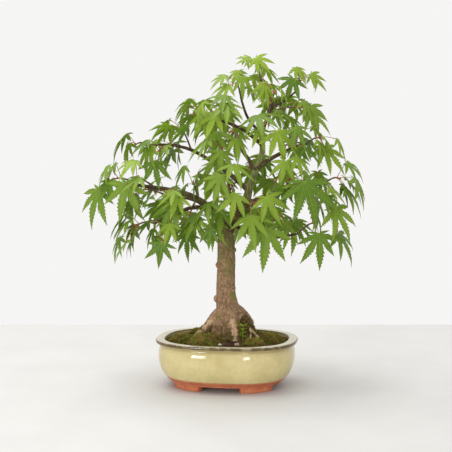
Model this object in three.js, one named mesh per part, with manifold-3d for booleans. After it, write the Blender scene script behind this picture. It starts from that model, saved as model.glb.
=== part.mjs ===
// A Japanese maple bonsai in an oval glazed pot, in millimetres, +Z up.
// The pot's long side lies along X and its feet stand on Z = 0. The tree's front faces -Y, turned
// a little to the pot's long side, as it was planted.
import * as THREE from "three";
import { mergeVertices } from "three/addons/utils/BufferGeometryUtils.js";
import Module from "manifold-3d";

const wasm = await Module();
wasm.setup();

// ---- Driving dimensions ----
const potLength = 180;
const potWidth = 146;
const potHeight = 60;
const footHeight = 7;
const floorThickness = 7;
const rimWidth = 12;
const cornerFullness = 2.5; // exponent of the pot's outline: 2 is an ellipse, more is squarer
const potSegments = 32;
const footOuter = 68.5; // half length of the oval that the feet's outer faces follow
const footInner = 57;
const footSpan = 46; // degrees of that oval that a foot takes up
const footMiddles = [49, 131, 229, 311]; // degrees from +X
const drainOffset = 34; // from the pot's middle to each drain hole
const drainRadius = 8;
const soilEdge = 55.5; // height of the soil at the wall
const soilMound = 9; // how much higher it is at the trunk
const treeTurn = THREE.MathUtils.degToRad(10); // from the pot's long side to the tree's front
const gap = 0.3; // between pieces that touch
const leafThickness = 1.3; // at the middle of a leaf
const leafCone = 0.16; // how far a leaf's tips hang below its middle, for each mm out
const petioleRadius = 0.55;
const twigRadius = 1.1;
const tipRadius = 0.7;
const bladeClearance = 1.1; // least height between a blade's surface and its neighbours
const bladeMargin = 1; // how far beyond a blade's outline that holds
const stalkLeast = 12; // a leaf stalk's least length
const stalkSpread = 14; // how much longer than that it may be
const triesPerLeaf = 60;
const shrinkPerTry = 0.004; // a leaf that finds no room tries again, this much smaller

const up = new THREE.Vector3(0, 0, 1);
const vec = (p) => new THREE.Vector3(p[0], p[1], p[2]);

// ---- Solids ----
function toSolid(geometry) {
  const bare = geometry.clone();
  bare.deleteAttribute("normal");
  bare.deleteAttribute("uv");
  const merged = mergeVertices(bare, 1e-4);
  return new wasm.Manifold(
    new wasm.Mesh({
      numProp: 3,
      vertProperties: merged.attributes.position.array,
      triVerts: new Uint32Array(merged.index.array),
    }),
  );
}

function toGeometry(solid) {
  const mesh = solid.getMesh();
  const geometry = new THREE.BufferGeometry();
  geometry.setAttribute("position", new THREE.BufferAttribute(mesh.vertProperties, 3));
  geometry.setIndex(new THREE.BufferAttribute(mesh.triVerts, 1));
  geometry.computeVertexNormals();
  return geometry;
}

// Moves every vertex of a geometry by a function of its old place.
function reshape(geometry, move) {
  const position = geometry.attributes.position;
  const point = new THREE.Vector3();
  for (let i = 0; i < position.count; i++) {
    point.fromBufferAttribute(position, i);
    move(point);
    position.setXYZ(i, point.x, point.y, point.z);
  }
  return geometry;
}

const joined = (solids) => solids.reduce((all, solid) => all.add(solid));

// The largest of the pieces that a cut leaves.
function largest(solid) {
  return solid.decompose().reduce((most, piece) => (piece.volume() > most.volume() ? piece : most));
}

// A closed tapering tube through points of [x, y, z, radius], with a cap at each end.
function limbGeometry(points, sides, steps, grow = 0) {
  const path = new THREE.CatmullRomCurve3(points.map(vec));
  const chord = vec(points[points.length - 1]).sub(vec(points[0])).normalize();
  const reference = Math.abs(chord.z) > 0.7 ? new THREE.Vector3(0, 1, 0) : up;
  return reshape(new THREE.CylinderGeometry(1, 1, 1, sides, steps), (p) => {
    const along = Math.min(1, Math.max(0, p.y + 0.5));
    const tangent = path.getTangent(along);
    const side = tangent.clone().cross(reference).normalize();
    const normal = side.clone().cross(tangent);
    const place = along * (points.length - 1);
    const before = Math.min(Math.floor(place), points.length - 2);
    const radius = THREE.MathUtils.lerp(points[before][3], points[before + 1][3], place - before);
    const offset = side.multiplyScalar(p.x).addScaledVector(normal, p.z);
    p.copy(path.getPoint(along)).addScaledVector(offset, radius + grow);
  });
}

// ---- Pot ----
// A lathe turned into the pot's oval: a profile's radius becomes the half length along X.
function ovalLathe(profile, segments = potSegments) {
  const points = profile.map(([radius, height]) => new THREE.Vector2(radius, height));
  const geometry = new THREE.LatheGeometry(points, segments);
  geometry.rotateX(Math.PI / 2);
  return reshape(geometry, (p) => {
    const radius = Math.hypot(p.x, p.y);
    const angle = Math.atan2(p.y, p.x);
    const [x, y] = ovalPoint(radius, angle);
    p.set(x, y, p.z);
  });
}

function ovalPoint(halfLength, angle) {
  const squarer = (value) => Math.sign(value) * Math.abs(value) ** (2 / cornerFullness);
  return [
    halfLength * squarer(Math.cos(angle)),
    ((halfLength * potWidth) / potLength) * squarer(Math.sin(angle)),
  ];
}

const rimRadius = potLength / 2;
const openingRadius = rimRadius - rimWidth;
const floorTop = footHeight + floorThickness;
// Half length and height of the inner wall, from the rim down to the floor.
const innerWall = [
  [openingRadius, potHeight - 1],
  [openingRadius, 40],
  [openingRadius - 3, 26],
  [openingRadius - 9, 18],
  [openingRadius - 16, floorTop],
];

// The pot's outside rises from a narrow bare belt over the feet, swells and draws in under the rim.
function potSolid() {
  const profile = [
    [0, footHeight],
    [70, footHeight],
    [71, footHeight + 0.8],
    [71, 9],
    [73, 9.6],
    [79.6, 16],
    [84.2, 24],
    [86.5, 33],
    [86.8, 42],
    [85.6, 49],
    [83.5, 53],
    [83.8, 54.6],
    [rimRadius - 1, 55.4],
    [rimRadius, 57],
    [rimRadius - 0.2, 59],
    [rimRadius - 1.4, potHeight],
    [openingRadius + 1, potHeight],
    ...innerWall,
    [0, floorTop],
  ];
  const body = toSolid(ovalLathe(profile));
  const feet = footMiddles.map((middle) => footSolid(middle - footSpan / 2, middle + footSpan / 2));
  const holes = [-drainOffset, drainOffset].map((x) => drainSolid(x));
  return joined([body, ...feet]).subtract(joined(holes));
}

// One foot: a curved block under the wall between two angles, in degrees.
function footSolid(from, to) {
  const steps = 5;
  const outline = [];
  for (const [radius, first, last] of [[footOuter, from, to], [footInner, to, from]]) {
    for (let i = 0; i <= steps; i++) {
      const angle = THREE.MathUtils.degToRad(first + ((last - first) * i) / steps);
      outline.push(new THREE.Vector2(...ovalPoint(radius, angle)));
    }
  }
  const depth = footHeight + 1;
  return toSolid(new THREE.ExtrudeGeometry(new THREE.Shape(outline), { depth, bevelEnabled: false }));
}

function drainSolid(x) {
  const hole = new THREE.CylinderGeometry(drainRadius, drainRadius, 4 * floorThickness, 20);
  hole.rotateX(Math.PI / 2);
  hole.translate(x, 0, floorTop);
  return toSolid(hole);
}

// ---- Drainage screens and the wires that hold them ----
const screenSize = 30;
const screenThickness = 1.2;
const screenBars = 4;
const wireRadius = 0.8;
const screenPitch = screenSize / (screenBars + 0.5);
const wireHalfSpan = screenPitch / 2;

function screenSolid(x) {
  const plate = new THREE.BoxGeometry(screenSize, screenSize, screenThickness);
  const hole = new THREE.BoxGeometry(0.6 * screenPitch, 0.6 * screenPitch, 2 * screenThickness);
  const middle = (screenBars - 1) / 2;
  let screen = toSolid(plate);
  for (let row = 0; row < screenBars; row++) {
    for (let column = 0; column < screenBars; column++) {
      const place = [(column - middle) * screenPitch, (row - middle) * screenPitch, 0];
      const cut = hole.clone().translate(...place);
      screen = screen.subtract(toSolid(cut));
    }
  }
  return screen.translate([x, 0, floorTop + gap + screenThickness / 2]);
}

// A staple over the screen, down through the drain hole and bent out under the pot.
function wireGeometry(x) {
  const top = floorTop + 2 * gap + screenThickness + wireRadius;
  const bottom = footHeight - gap - wireRadius;
  const route = [
    [-drainRadius - 5, bottom - 0.6],
    [-wireHalfSpan - 1.4, bottom - 0.6],
    [-wireHalfSpan, bottom + 1.4],
    [-wireHalfSpan, top - 1.4],
    [-wireHalfSpan + 1.4, top],
    [wireHalfSpan - 1.4, top],
    [wireHalfSpan, top - 1.4],
    [wireHalfSpan, bottom + 1.4],
    [wireHalfSpan + 1.4, bottom - 0.6],
    [drainRadius + 5, bottom - 0.6],
  ];
  const path = new THREE.CurvePath();
  for (let i = 0; i < route.length - 1; i++) {
    const ends = [route[i], route[i + 1]].map(([along, height]) => new THREE.Vector3(x, along, height));
    path.add(new THREE.LineCurve3(...ends));
  }
  const ring = new THREE.Shape();
  ring.absarc(0, 0, wireRadius, 0, 2 * Math.PI);
  const shape = new THREE.Shape(ring.getPoints(2));
  return new THREE.ExtrudeGeometry(shape, { extrudePath: path, steps: 28, curveSegments: 2 });
}


// ---- Soil ----
function moundHeight(x, y) {
  const distance = Math.hypot(x, y) / 40;
  return soilEdge + soilMound * Math.exp(-distance * distance);
}

// The soil fills the pot to its mound. A grown one is a cutter that is larger all round by the gap.
function soilSolid(grow = 0) {
  const clear = gap - grow;
  const wall = innerWall.slice(1).map(([radius, height]) => [radius - clear, height + clear]);
  const top = [openingRadius - clear, soilEdge];
  const rings = [0.75, 0.5, 0.25, 0].map((share) => [share * openingRadius, soilEdge]);
  const geometry = ovalLathe([[0, floorTop + clear], ...wall.reverse(), top, ...rings]);
  return toSolid(
    reshape(geometry, (p) => {
      if (p.z > soilEdge - 1) p.z = moundHeight(p.x, p.y) + grow;
    }),
  );
}

// Room in the soil for the screens and the wires over them.
function screenPocket() {
  const size = screenSize + 2 * gap;
  const height = screenThickness + 2 * wireRadius + 4 * gap;
  const pockets = [-drainOffset, drainOffset].map((x) => {
    const box = new THREE.BoxGeometry(size, size, 2 * height);
    return toSolid(box.translate(x, 0, floorTop));
  });
  return joined(pockets);
}

// A place in the tree's own directions, turned into the pot's.
function turned(x, y) {
  return [
    x * Math.cos(treeTurn) - y * Math.sin(treeTurn),
    x * Math.sin(treeTurn) + y * Math.cos(treeTurn),
  ];
}

// ---- Moss, stones and a seedling on the soil ----
// Each row is a name, the middle, the length along X, the width along Y and the height.
const mossCushions = [
  ["left", -57, -4, 34, 44, 7],
  ["front_left", -30, -33, 36, 30, 12],
  ["right", 57, -6, 34, 46, 8],
  ["front_right", 33, -35, 24, 20, 7],
  ["back_left", -32, 36, 40, 26, 8],
  ["back_right", 24, 42, 44, 20, 8],
];
const pebbles = [
  ["pink", 12, -46, 7, "#c69a8c"],
  ["white", -9, -46, 5, "#d9d5cb"],
];

const seedlingPlace = [20, -29];
const seedlingHeight = 20;
const seedlingStep = 4.5; // from one pair of its leaves to the next

function onSoil(x, y) {
  const [turnedX, turnedY] = turned(x, y);
  return [turnedX, turnedY, moundHeight(turnedX, turnedY)];
}

function mossSolid(x, y, length, width, height) {
  const dome = new THREE.SphereGeometry(1, 10, 8);
  dome.rotateX(Math.PI / 2);
  dome.scale(length / 2, width / 2, height);
  dome.rotateZ(treeTurn);
  dome.translate(...onSoil(x, y));
  return toSolid(dome).subtract(soilSolid(gap)).subtract(potGuard());
}

// Everything outside the pot's opening, so that what grows on the soil stays off the wall.
function potGuard() {
  const outline = [[openingRadius - gap, 40], [potLength, 40], [potLength, 90], [openingRadius - gap, 90]];
  return toSolid(ovalLathe([...outline, outline[0]]));
}

function pebbleSolid(x, y, size) {
  const stone = new THREE.IcosahedronGeometry(size / 2, 1);
  stone.scale(1, 0.8, 0.65);
  const [middleX, middleY, height] = onSoil(x, y);
  stone.translate(middleX, middleY, height + size * 0.2);
  return toSolid(stone).subtract(soilSolid(gap));
}

// A seedling with a bare stem and three pairs of round leaves, each pair across the one below it.
function seedlingSolid() {
  const [x, y, ground] = onSoil(seedlingPlace[0], seedlingPlace[1]);
  const top = ground + seedlingHeight;
  const stem = limbGeometry([[x, y, ground - 2, 0.8], [x, y, top, 0.6]], 6, 2);
  const pads = [0, 1, 2, 3, 4, 5].map((index) => {
    const level = Math.floor(index / 2);
    const pad = new THREE.SphereGeometry(1, 6, 4);
    pad.scale(3.4, 2.3, 0.7);
    pad.translate(3, 0, 0);
    pad.rotateY(-0.3);
    pad.rotateZ(0.6 + (level * Math.PI) / 2 + (index % 2) * Math.PI);
    return pad.translate(x, y, top - 0.8 - seedlingStep * level);
  });
  return joined([stem, ...pads].map(toSolid)).subtract(soilSolid(gap)).subtract(woodCutter);
}

// ---- Wood: the trunk, its roots and its main branches, grown as one piece ----
// Points are [x, y, z, radius] with the tree's front towards -Y and the trunk's middle at X = 0.
const trunkRoute = [
  [1, 0, 42, 26],
  [2, 0, 60, 27],
  [3, 0, 72, 25],
  [3, 0, 83, 20.5],
  [2, 0, 93, 16.2],
  [0, 0, 104, 13.8],
  [-1, 0, 118, 12.4],
  [-1, 0, 136, 11.6],
  [-1, 0, 156, 11.4],
  [-1, 0, 176, 10.7],
  [-1, 0, 194, 9.8],
  [5, 0, 208, 8.4],
  [16, -2, 220, 6.8],
  [24, -4, 234, 5.6],
  [28, -6, 250, 4.7],
  [35, -6, 270, 4.1],
  [44, -4, 295, 3.5],
  [42, 0, 320, 2.8],
];
const roots = [
  [[-4, -4, 96, 8], [-16, -9, 86, 7], [-26, -13, 74, 5.8], [-37, -16, 64, 4.8], [-47, -18, 51, 4]],
  [[-4, -6, 96, 8], [-10, -17, 78, 7], [-15, -26, 64, 5.5], [-19, -34, 50, 4]],
  [[4, -6, 98, 8], [7, -14, 86, 7], [9, -22, 72, 6.5], [10, -29, 52, 5.5]],
  [[6, 0, 98, 9], [17, -4, 90, 9], [25, -8, 79, 8], [29, -12, 65, 7], [36, -15, 50, 4.5]],
  [[23, -12, 80, 2.2], [30, -19, 73, 1.7], [38, -23, 65, 1.5], [48, -25, 54, 1.3]],
  [[23, -12, 80, 2], [29.5, -22, 72, 1.4], [29, -28, 62, 1.2], [28.5, -30, 53, 1.1]],
  [[-4, 6, 96, 8], [-14, 20, 78, 7], [-22, 32, 64, 5.5], [-28, 42, 50, 4]],
  [[6, 6, 96, 8], [16, 18, 80, 7.5], [25, 32, 64, 6], [30, 42, 50, 4.5]],
];
const limbs = {
  trunk: trunkRoute,
  left: [[-2, 0, 196, 7], [-10, -3, 212, 5.4], [-28, -6, 230, 4.8], [-48, -8, 241, 4.2],
    [-75, -8, 248, 3.4], [-100, -6, 252, 2.6], [-122, -6, 256, 2]],
  left_low: [[-22, -6, 225, 3.2], [-46, -20, 226, 2.6], [-68, -30, 216, 2.2], [-90, -32, 208, 1.8]],
  left_up: [[28, -5, 246, 3.6], [5, -4, 266, 3], [-20, -4, 284, 2.6], [-45, -4, 298, 2.2],
    [-70, -4, 304, 1.9], [-95, -2, 304, 1.6]],
  left_back: [[-16, -4, 219, 3.4], [-35, 15, 232, 3], [-60, 32, 238, 2.5], [-85, 40, 240, 1.9]],
  right_low: [[0, -2, 206, 3], [16, -8, 200, 2.4], [34, -14, 191, 2.1], [60, -20, 189, 1.8],
    [88, -24, 194, 1.6]],
  right: [[20, -4, 226, 4.4], [45, -8, 238, 3.8], [72, -10, 246, 3], [98, -10, 252, 2.4],
    [122, -6, 256, 1.8]],
  right_back: [[20, -3, 224, 3.8], [35, 18, 232, 3.2], [55, 38, 240, 2.6], [80, 45, 246, 2]],
  back: [[7, 0, 208, 4.2], [8, 22, 222, 3.6], [4, 45, 238, 3], [2, 66, 254, 2.2]],
  front: [[16, -2, 219, 3.8], [12, -18, 228, 3.2], [8, -36, 240, 2.6], [8, -52, 250, 2]],
  right_up: [[36, -6, 274, 3.2], [60, -8, 290, 2.7], [82, -8, 300, 2.2], [100, -8, 306, 1.7]],
  back_up: [[35, -6, 270, 3], [28, 14, 285, 2.6], [18, 36, 300, 2.1], [14, 52, 312, 1.7]],
  up_left: [[43, -3, 305, 2.6], [22, -4, 322, 2.3], [0, -4, 332, 2], [-20, -2, 338, 1.7]],
  top: [[43, -1, 314, 2.7], [50, -2, 338, 2.2], [57, -2, 355, 1.9], [48, -2, 372, 1.6],
    [42, 0, 386, 1.4]],
  top_right: [[56, -2, 352, 1.9], [70, -4, 358, 1.7], [85, -6, 370, 1.4]],
  top_left: [[43, 0, 318, 2.2], [26, -4, 338, 1.8], [18, -8, 360, 1.5]],
};

function woodSolid(grow = 0) {
  const tubes = Object.values(limbs).map((points) =>
    points === trunkRoute
      ? limbGeometry(points, 9, points.length - 1, grow)
      : limbGeometry(points, 4, points.length - 1, grow),
  );
  const spread = roots.map((points) => limbGeometry(points, 5, points.length - 1, grow));
  return joined([...tubes, ...spread].map(toSolid)).rotate([0, 0, THREE.MathUtils.radToDeg(treeTurn)]);
}

// ---- Shoots: this year's twigs, each with the leaves that grow on it ----
// Each row is a name, the branch it grows from, how far along that branch's points, the x, y and z
// of its tip, how many leaves it tries for, and their length.
const shoots = [
  ["left_tip", "left", 5.6, -140, -8, 262, 5, 44],
  ["left_front", "left", 4.6, -112, -36, 262, 6, 44],
  ["left_middle", "left", 3.4, -74, -44, 248, 6, 42],
  ["left_low_front", "left_low", 2.2, -78, -48, 204, 5, 36],
  ["left_low_end", "left_low", 3, -112, -34, 204, 4, 38],
  ["left_low_out", "left_low", 2.6, -120, -8, 200, 4, 34],
  ["left_back_out", "left_back", 2.8, -112, 30, 246, 5, 42],
  ["left_back", "left_back", 2.2, -82, 62, 240, 6, 42],
  ["left_back_low", "left_back", 1.2, -50, 48, 208, 5, 40],
  ["left_up_end", "left_up", 5, -116, -4, 304, 5, 38],
  ["left_up_front", "left_up", 4, -84, -34, 296, 6, 38],
  ["left_up_back", "left_up", 3.4, -74, 34, 304, 6, 40],
  ["left_inner", "left", 2.4, -42, -42, 258, 6, 42],
  ["left_crown", "left_up", 3, -56, -14, 322, 6, 38],
  ["front_low_left", "left_low", 0.4, -26, -42, 218, 6, 40],
  ["front_middle", "front", 3, -2, -68, 262, 5, 42],
  ["front_low_right", "front", 2, 34, -62, 232, 5, 46],
  ["front_upper", "left_up", 1.4, -6, -46, 300, 6, 40],
  ["right_front", "right", 2, 78, -52, 264, 5, 48],
  ["right_low_end", "right_low", 4, 108, -34, 208, 4, 42],
  ["right_low_middle", "right_low", 2.6, 54, -40, 210, 4, 42],
  ["right_out", "right", 3.2, 124, -24, 240, 5, 44],
  ["right_tip", "right", 4, 142, 2, 262, 5, 42],
  ["right_back_out", "right_back", 3, 110, 42, 248, 5, 42],
  ["right_back_low", "right_back", 1.6, 66, 52, 212, 5, 40],
  ["right_back", "right_back", 2.2, 66, 74, 258, 5, 42],
  ["right_upper", "right_up", 3, 116, -20, 312, 5, 40],
  ["right_upper_front", "right_up", 1.4, 74, -42, 304, 6, 40],
  ["right_upper_back", "right_up", 2.2, 92, 30, 318, 5, 40],
  ["back_low", "back", 1.4, 12, 62, 218, 5, 40],
  ["back_end", "back", 3, -14, 92, 262, 5, 42],
  ["back_right", "back", 2.4, 34, 90, 278, 5, 42],
  ["back_upper", "back_up", 3, 6, 70, 322, 6, 40],
  ["upper_left_end", "up_left", 3, -34, -8, 346, 6, 38],
  ["upper_left_front", "up_left", 2, -10, -34, 346, 6, 38],
  ["upper_left_back", "up_left", 1.6, -14, 36, 348, 6, 38],
  ["upper_front", "up_left", 0.3, 46, -38, 330, 6, 42],
  ["upper_right", "top", 1.4, 92, -10, 350, 6, 36],
  ["upper_right_back", "top", 1, 70, 38, 350, 6, 38],
  ["upper_middle", "trunk", 16.7, 58, -34, 368, 6, 34],
  ["top_left", "top_left", 2, 12, -14, 380, 6, 32],
  ["top_end", "top", 4, 38, 0, 402, 4, 27],
  ["top_right", "top_right", 2, 92, -8, 384, 6, 28],
  ["top_back", "top", 2.8, 44, 32, 380, 6, 32],
];

// Leaves whose place and turn are chosen: the shoot, the x, y and z where the stalk meets the
// blade, the x, y and z of the tip, and the compass turn of the upper side, in degrees from the
// front towards the right.
const chosenLeaves = [
  ["left_tip", -160, -12, 248, -180, -20, 204, -40],
  ["left_tip", -150, 8, 256, -184, 14, 232, -70],
  ["left_front", -122, -44, 256, -136, -52, 211, -12],
  ["left_low_front", -78, -62, 186, -84, -66, 155, 5],
  ["left_low_out", -134, -12, 188, -148, -20, 160, -60],
  ["left_middle", -62, -58, 234, -86, -66, 200, -15],
  ["left_up_front", -88, -44, 284, -82, -56, 252, 10],
  ["front_middle", -8, -78, 268, -16, -86, 234, -5],
  ["front_middle", 10, -74, 246, 4, -84, 212, 8],
  ["front_low_right", 48, -74, 204, 42, -82, 152, 6],
  ["front_low_right", 46, -76, 242, 66, -84, 210, 12],
  ["front_low_left", -20, -56, 204, -24, -62, 178, -10],
  ["right_front", 92, -74, 260, 114, -84, 206, 14],
  ["right_front", 70, -58, 284, 62, -66, 254, -6],
  ["right_low_end", 112, -44, 196, 116, -52, 152, 8],
  ["right_out", 132, -36, 226, 160, -42, 190, 40],
  ["right_out", 138, -24, 194, 166, -28, 162, 60],
  ["right_tip", 150, -4, 250, 178, -8, 220, 70],
  ["right_tip", 152, 10, 262, 182, 16, 238, 90],
  ["right_upper", 118, -28, 302, 112, -38, 276, 20],
  ["right_upper", 122, -16, 300, 152, -20, 272, 40],
  ["upper_front", 60, -52, 320, 74, -60, 282, 10],
  ["upper_right", 102, -16, 352, 120, -24, 322, 25],
  ["top_right", 82, -16, 386, 70, -22, 356, -10],
  ["top_right", 104, -10, 392, 126, -14, 374, 40],
  ["top_left", 18, -22, 388, 20, -34, 362, 0],
  ["top_left", 2, -12, 378, -22, -18, 362, -50],
  ["top_end", 36, -6, 412, 56, -16, 396, 20],
  ["top_end", 30, 0, 412, 12, -8, 408, -30],
  ["upper_left_end", -24, -20, 344, -46, -28, 314, -30],
];

// The outline of a leaf of length 1: the angle and reach of each lobe's tip and each notch between
// them, on one side of the middle lobe, and then the base beside the stalk.
const leafHalf = [
  [19, 0.32],
  [38, 0.9],
  [57, 0.28],
  [78, 0.66],
  [122, 0.26],
];
const leafOutline = [
  [0, 1],
  ...leafHalf,
  [180, 0.04],
  ...[...leafHalf].reverse().map(([angle, reach]) => [360 - angle, reach]),
];
const leafMiddle = 0.1; // share of the length from the stalk to the thickest point

// A random source that gives the same numbers every time.
function randomFrom(seed) {
  let state = seed;
  return () => {
    state = (state * 16807) % 2147483647;
    return state / 2147483647;
  };
}

function makeLeaf(foot, pivot, tip, turn) {
  const along = tip.clone().sub(pivot);
  const size = along.length();
  along.divideScalar(size);
  const face = new THREE.Vector3(Math.sin(turn), -Math.cos(turn), 0.35);
  const normal = face.addScaledVector(along, -face.dot(along)).normalize();
  const side = normal.clone().cross(along);
  const leaf = { foot, pivot, along, side, normal, size };
  leaf.ring = leafOutline.map(([angle, reach]) => leafPoint(leaf, angle, reach));
  leaf.middle = pivot.clone().addScaledVector(along, 0.4 * size);
  return leaf;
}

function leafPoint(leaf, angle, reach) {
  const radians = THREE.MathUtils.degToRad(angle);
  const distance = reach * leaf.size;
  return leaf.pivot
    .clone()
    .addScaledVector(leaf.along, distance * Math.cos(radians))
    .addScaledVector(leaf.side, distance * Math.sin(radians))
    .addScaledVector(leaf.normal, -leafCone * distance);
}

// How far a point stands above a leaf's surface, and whether it is over the leaf.
function overLeaf(leaf, point, margin) {
  const away = point.clone().sub(leaf.pivot);
  const x = away.dot(leaf.along);
  const y = away.dot(leaf.side);
  const distance = Math.hypot(x, y);
  const height = away.dot(leaf.normal) + leafCone * distance;
  const angle = THREE.MathUtils.radToDeg(Math.abs(Math.atan2(y, x)));
  let reach = leafOutline[leafHalf.length + 1][1];
  for (let i = 0; i <= leafHalf.length; i++) {
    const [low, first] = leafOutline[i];
    const [high, second] = leafOutline[i + 1];
    if (angle >= low && angle <= high) {
      reach = first + ((second - first) * (angle - low)) / (high - low);
    }
  }
  return { height, over: distance < reach * leaf.size + margin };
}

// Whether a straight stroke of some radius comes too near a leaf's blade.
function strokeMeetsLeaf(from, to, radius, leaf) {
  const clearance = radius + bladeClearance;
  const margin = radius + bladeMargin;
  const a = overLeaf(leaf, from, margin);
  const b = overLeaf(leaf, to, margin);
  if (Math.abs(a.height) < clearance && a.over) return true;
  if (Math.abs(b.height) < clearance && b.over) return true;
  if (a.height * b.height > 0) return false;
  const share = a.height / (a.height - b.height);
  return overLeaf(leaf, from.clone().lerp(to, share), margin).over;
}

function ringMeetsLeaf(ring, leaf) {
  return ring.some((point, i) => strokeMeetsLeaf(point, ring[(i + 1) % ring.length], 0, leaf));
}

function leavesMeet(a, b) {
  if (a.middle.distanceTo(b.middle) > 0.72 * (a.size + b.size)) return false;
  return ringMeetsLeaf(a.ring, b) || ringMeetsLeaf(b.ring, a);
}

// The least distance between two straight strokes.
function strokeDistance(a, b, c, d) {
  const u = b.clone().sub(a);
  const v = d.clone().sub(c);
  const w = a.clone().sub(c);
  const uu = u.dot(u);
  const uv = u.dot(v);
  const vv = v.dot(v);
  const uw = u.dot(w);
  const vw = v.dot(w);
  const clamp = (value) => Math.min(1, Math.max(0, value));
  const determinant = uu * vv - uv * uv;
  const s = determinant > 1e-9 ? clamp((uv * vw - vv * uw) / determinant) : 0;
  const t = clamp((uv * s + vw) / vv);
  const again = clamp((uv * t - uw) / uu);
  return a.clone().addScaledVector(u, again).distanceTo(c.clone().addScaledVector(v, t));
}

function limbPlace(points, place) {
  const before = Math.min(Math.floor(place), points.length - 2);
  return vec(points[before]).lerp(vec(points[before + 1]), place - before);
}

// A stroke is a straight stretch of wood or stalk: its ends, its radius and the shoot it is on.
function woodStrokes() {
  const strokes = [];
  for (const points of Object.values(limbs)) {
    for (let i = 0; i < points.length - 1; i++) {
      const radius = Math.max(points[i][3], points[i + 1][3]);
      strokes.push({ from: vec(points[i]), to: vec(points[i + 1]), radius, owner: "wood" });
    }
  }
  return strokes;
}

// The route of a shoot's twig, which leaves its branch low and lifts towards its tip.
function twigRoute([, limb, place, x, y, z]) {
  const start = limbPlace(limbs[limb], place);
  const end = new THREE.Vector3(x, y, z);
  const third = start.clone().lerp(end, 0.35).addScaledVector(up, 2.5);
  const most = start.clone().lerp(end, 0.7).addScaledVector(up, 3);
  return [start, third, most, end];
}

// Whether a new leaf and its stalk keep clear of everything that is already placed.
function leafFits(leaf, owner, leaves, strokes) {
  for (const other of leaves) {
    if (leavesMeet(leaf, other)) return false;
    if (leaf.middle.distanceTo(other.middle) > leaf.size + other.size) continue;
    if (strokeMeetsLeaf(leaf.foot, leaf.pivot, petioleRadius, other)) return false;
    if (strokeMeetsLeaf(other.foot, other.pivot, petioleRadius, leaf)) return false;
  }
  for (const stroke of strokes) {
    if (strokeMeetsLeaf(stroke.from, stroke.to, stroke.radius, leaf)) return false;
    if (stroke.owner === owner) continue;
    const least = stroke.radius + petioleRadius + 2 * gap;
    if (strokeDistance(leaf.foot, leaf.pivot, stroke.from, stroke.to) < least) return false;
  }
  return true;
}

// Where a shoot's leaf stalks leave its twig: in pairs, from the tip back.
function stalkFoot(route, count) {
  const back = 0.08 + 0.42 * Math.floor(count / 2) + 0.12 * (count % 2);
  return route[3].clone().lerp(route[2], back);
}

// A leaf on a stalk that leaves the twig sideways and forwards, with its blade hanging outwards.
function grownLeaf(route, count, size, random) {
  const end = route[3];
  const foot = stalkFoot(route, count);
  const forward = end.clone().sub(route[1]).normalize();
  const spread = 2 * Math.PI * random();
  const across = forward.clone().cross(up).normalize();
  const over = across.clone().cross(forward);
  const stalk = forward
    .clone()
    .multiplyScalar(0.5 + 0.5 * random())
    .addScaledVector(across, Math.cos(spread))
    .addScaledVector(over, 0.2 + 0.8 * Math.sin(spread))
    .normalize();
  const pivot = foot.clone().addScaledVector(stalk, stalkLeast + stalkSpread * random());
  const outward = Math.atan2(pivot.x - 15, -pivot.y);
  const turn = outward + 1.3 * (random() - 0.5);
  const dip = THREE.MathUtils.degToRad(25 + 50 * random());
  const hanging = new THREE.Vector3(Math.sin(turn), -Math.cos(turn), 0)
    .multiplyScalar(Math.cos(dip))
    .addScaledVector(up, -Math.sin(dip));
  const length = size * (0.72 + 0.36 * random());
  const tip = pivot.clone().addScaledVector(hanging, length);
  return makeLeaf(foot, pivot, tip, turn + 0.8 * (random() - 0.5));
}

// Places every leaf: the chosen ones first, then each shoot's others where they find room.
function planFoliage() {
  const strokes = woodStrokes();
  const routes = new Map();
  for (const row of shoots) {
    const route = twigRoute(row);
    routes.set(row[0], route);
    for (let i = 0; i < 3; i++) {
      strokes.push({ from: route[i], to: route[i + 1], radius: twigRadius, owner: row[0] });
    }
  }
  const leaves = [];
  const keep = (leaf, owner) => {
    leaf.owner = owner;
    leaves.push(leaf);
    strokes.push({ from: leaf.foot, to: leaf.pivot, radius: petioleRadius, owner });
  };
  for (const [owner, x, y, z, tipX, tipY, tipZ, turn] of chosenLeaves) {
    const pivot = new THREE.Vector3(x, y, z);
    const tip = new THREE.Vector3(tipX, tipY, tipZ);
    const already = leaves.filter((leaf) => leaf.owner === owner).length;
    const foot = stalkFoot(routes.get(owner), already);
    const leaf = makeLeaf(foot, pivot, tip, THREE.MathUtils.degToRad(turn));
    if (leafFits(leaf, owner, leaves, strokes)) keep(leaf, owner);
  }
  shoots.forEach(([owner, , , , , , wanted, size], index) => {
    const random = randomFrom(1000 + 77 * index);
    const already = leaves.filter((leaf) => leaf.owner === owner).length;
    for (let count = already; count < wanted; count++) {
      for (let attempt = 0; attempt < triesPerLeaf; attempt++) {
        const shrink = 1 - shrinkPerTry * attempt;
        const leaf = grownLeaf(routes.get(owner), count, size * shrink, random);
        if (leafFits(leaf, owner, leaves, strokes)) {
          keep(leaf, owner);
          break;
        }
      }
    }
  });
  return { routes, leaves };
}

function bladeSolid(leaf) {
  const points = leafOutline.length;
  const geometry = new THREE.SphereGeometry(1, points, 2);
  const middle = leafPoint(leaf, 0, leafMiddle);
  return toSolid(
    reshape(geometry, (p) => {
      if (Math.abs(p.y) > 0.5) {
        const above = (Math.sign(p.y) * leafThickness) / 2;
        p.copy(middle).addScaledVector(leaf.normal, above);
        return;
      }
      const turn = Math.atan2(-p.z, p.x) / (2 * Math.PI);
      const index = Math.round((turn + 1) * points) % points;
      p.copy(leaf.ring[index]);
    }),
  );
}

const pointOf = (p, radius) => [p.x, p.y, p.z, radius];

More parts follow.
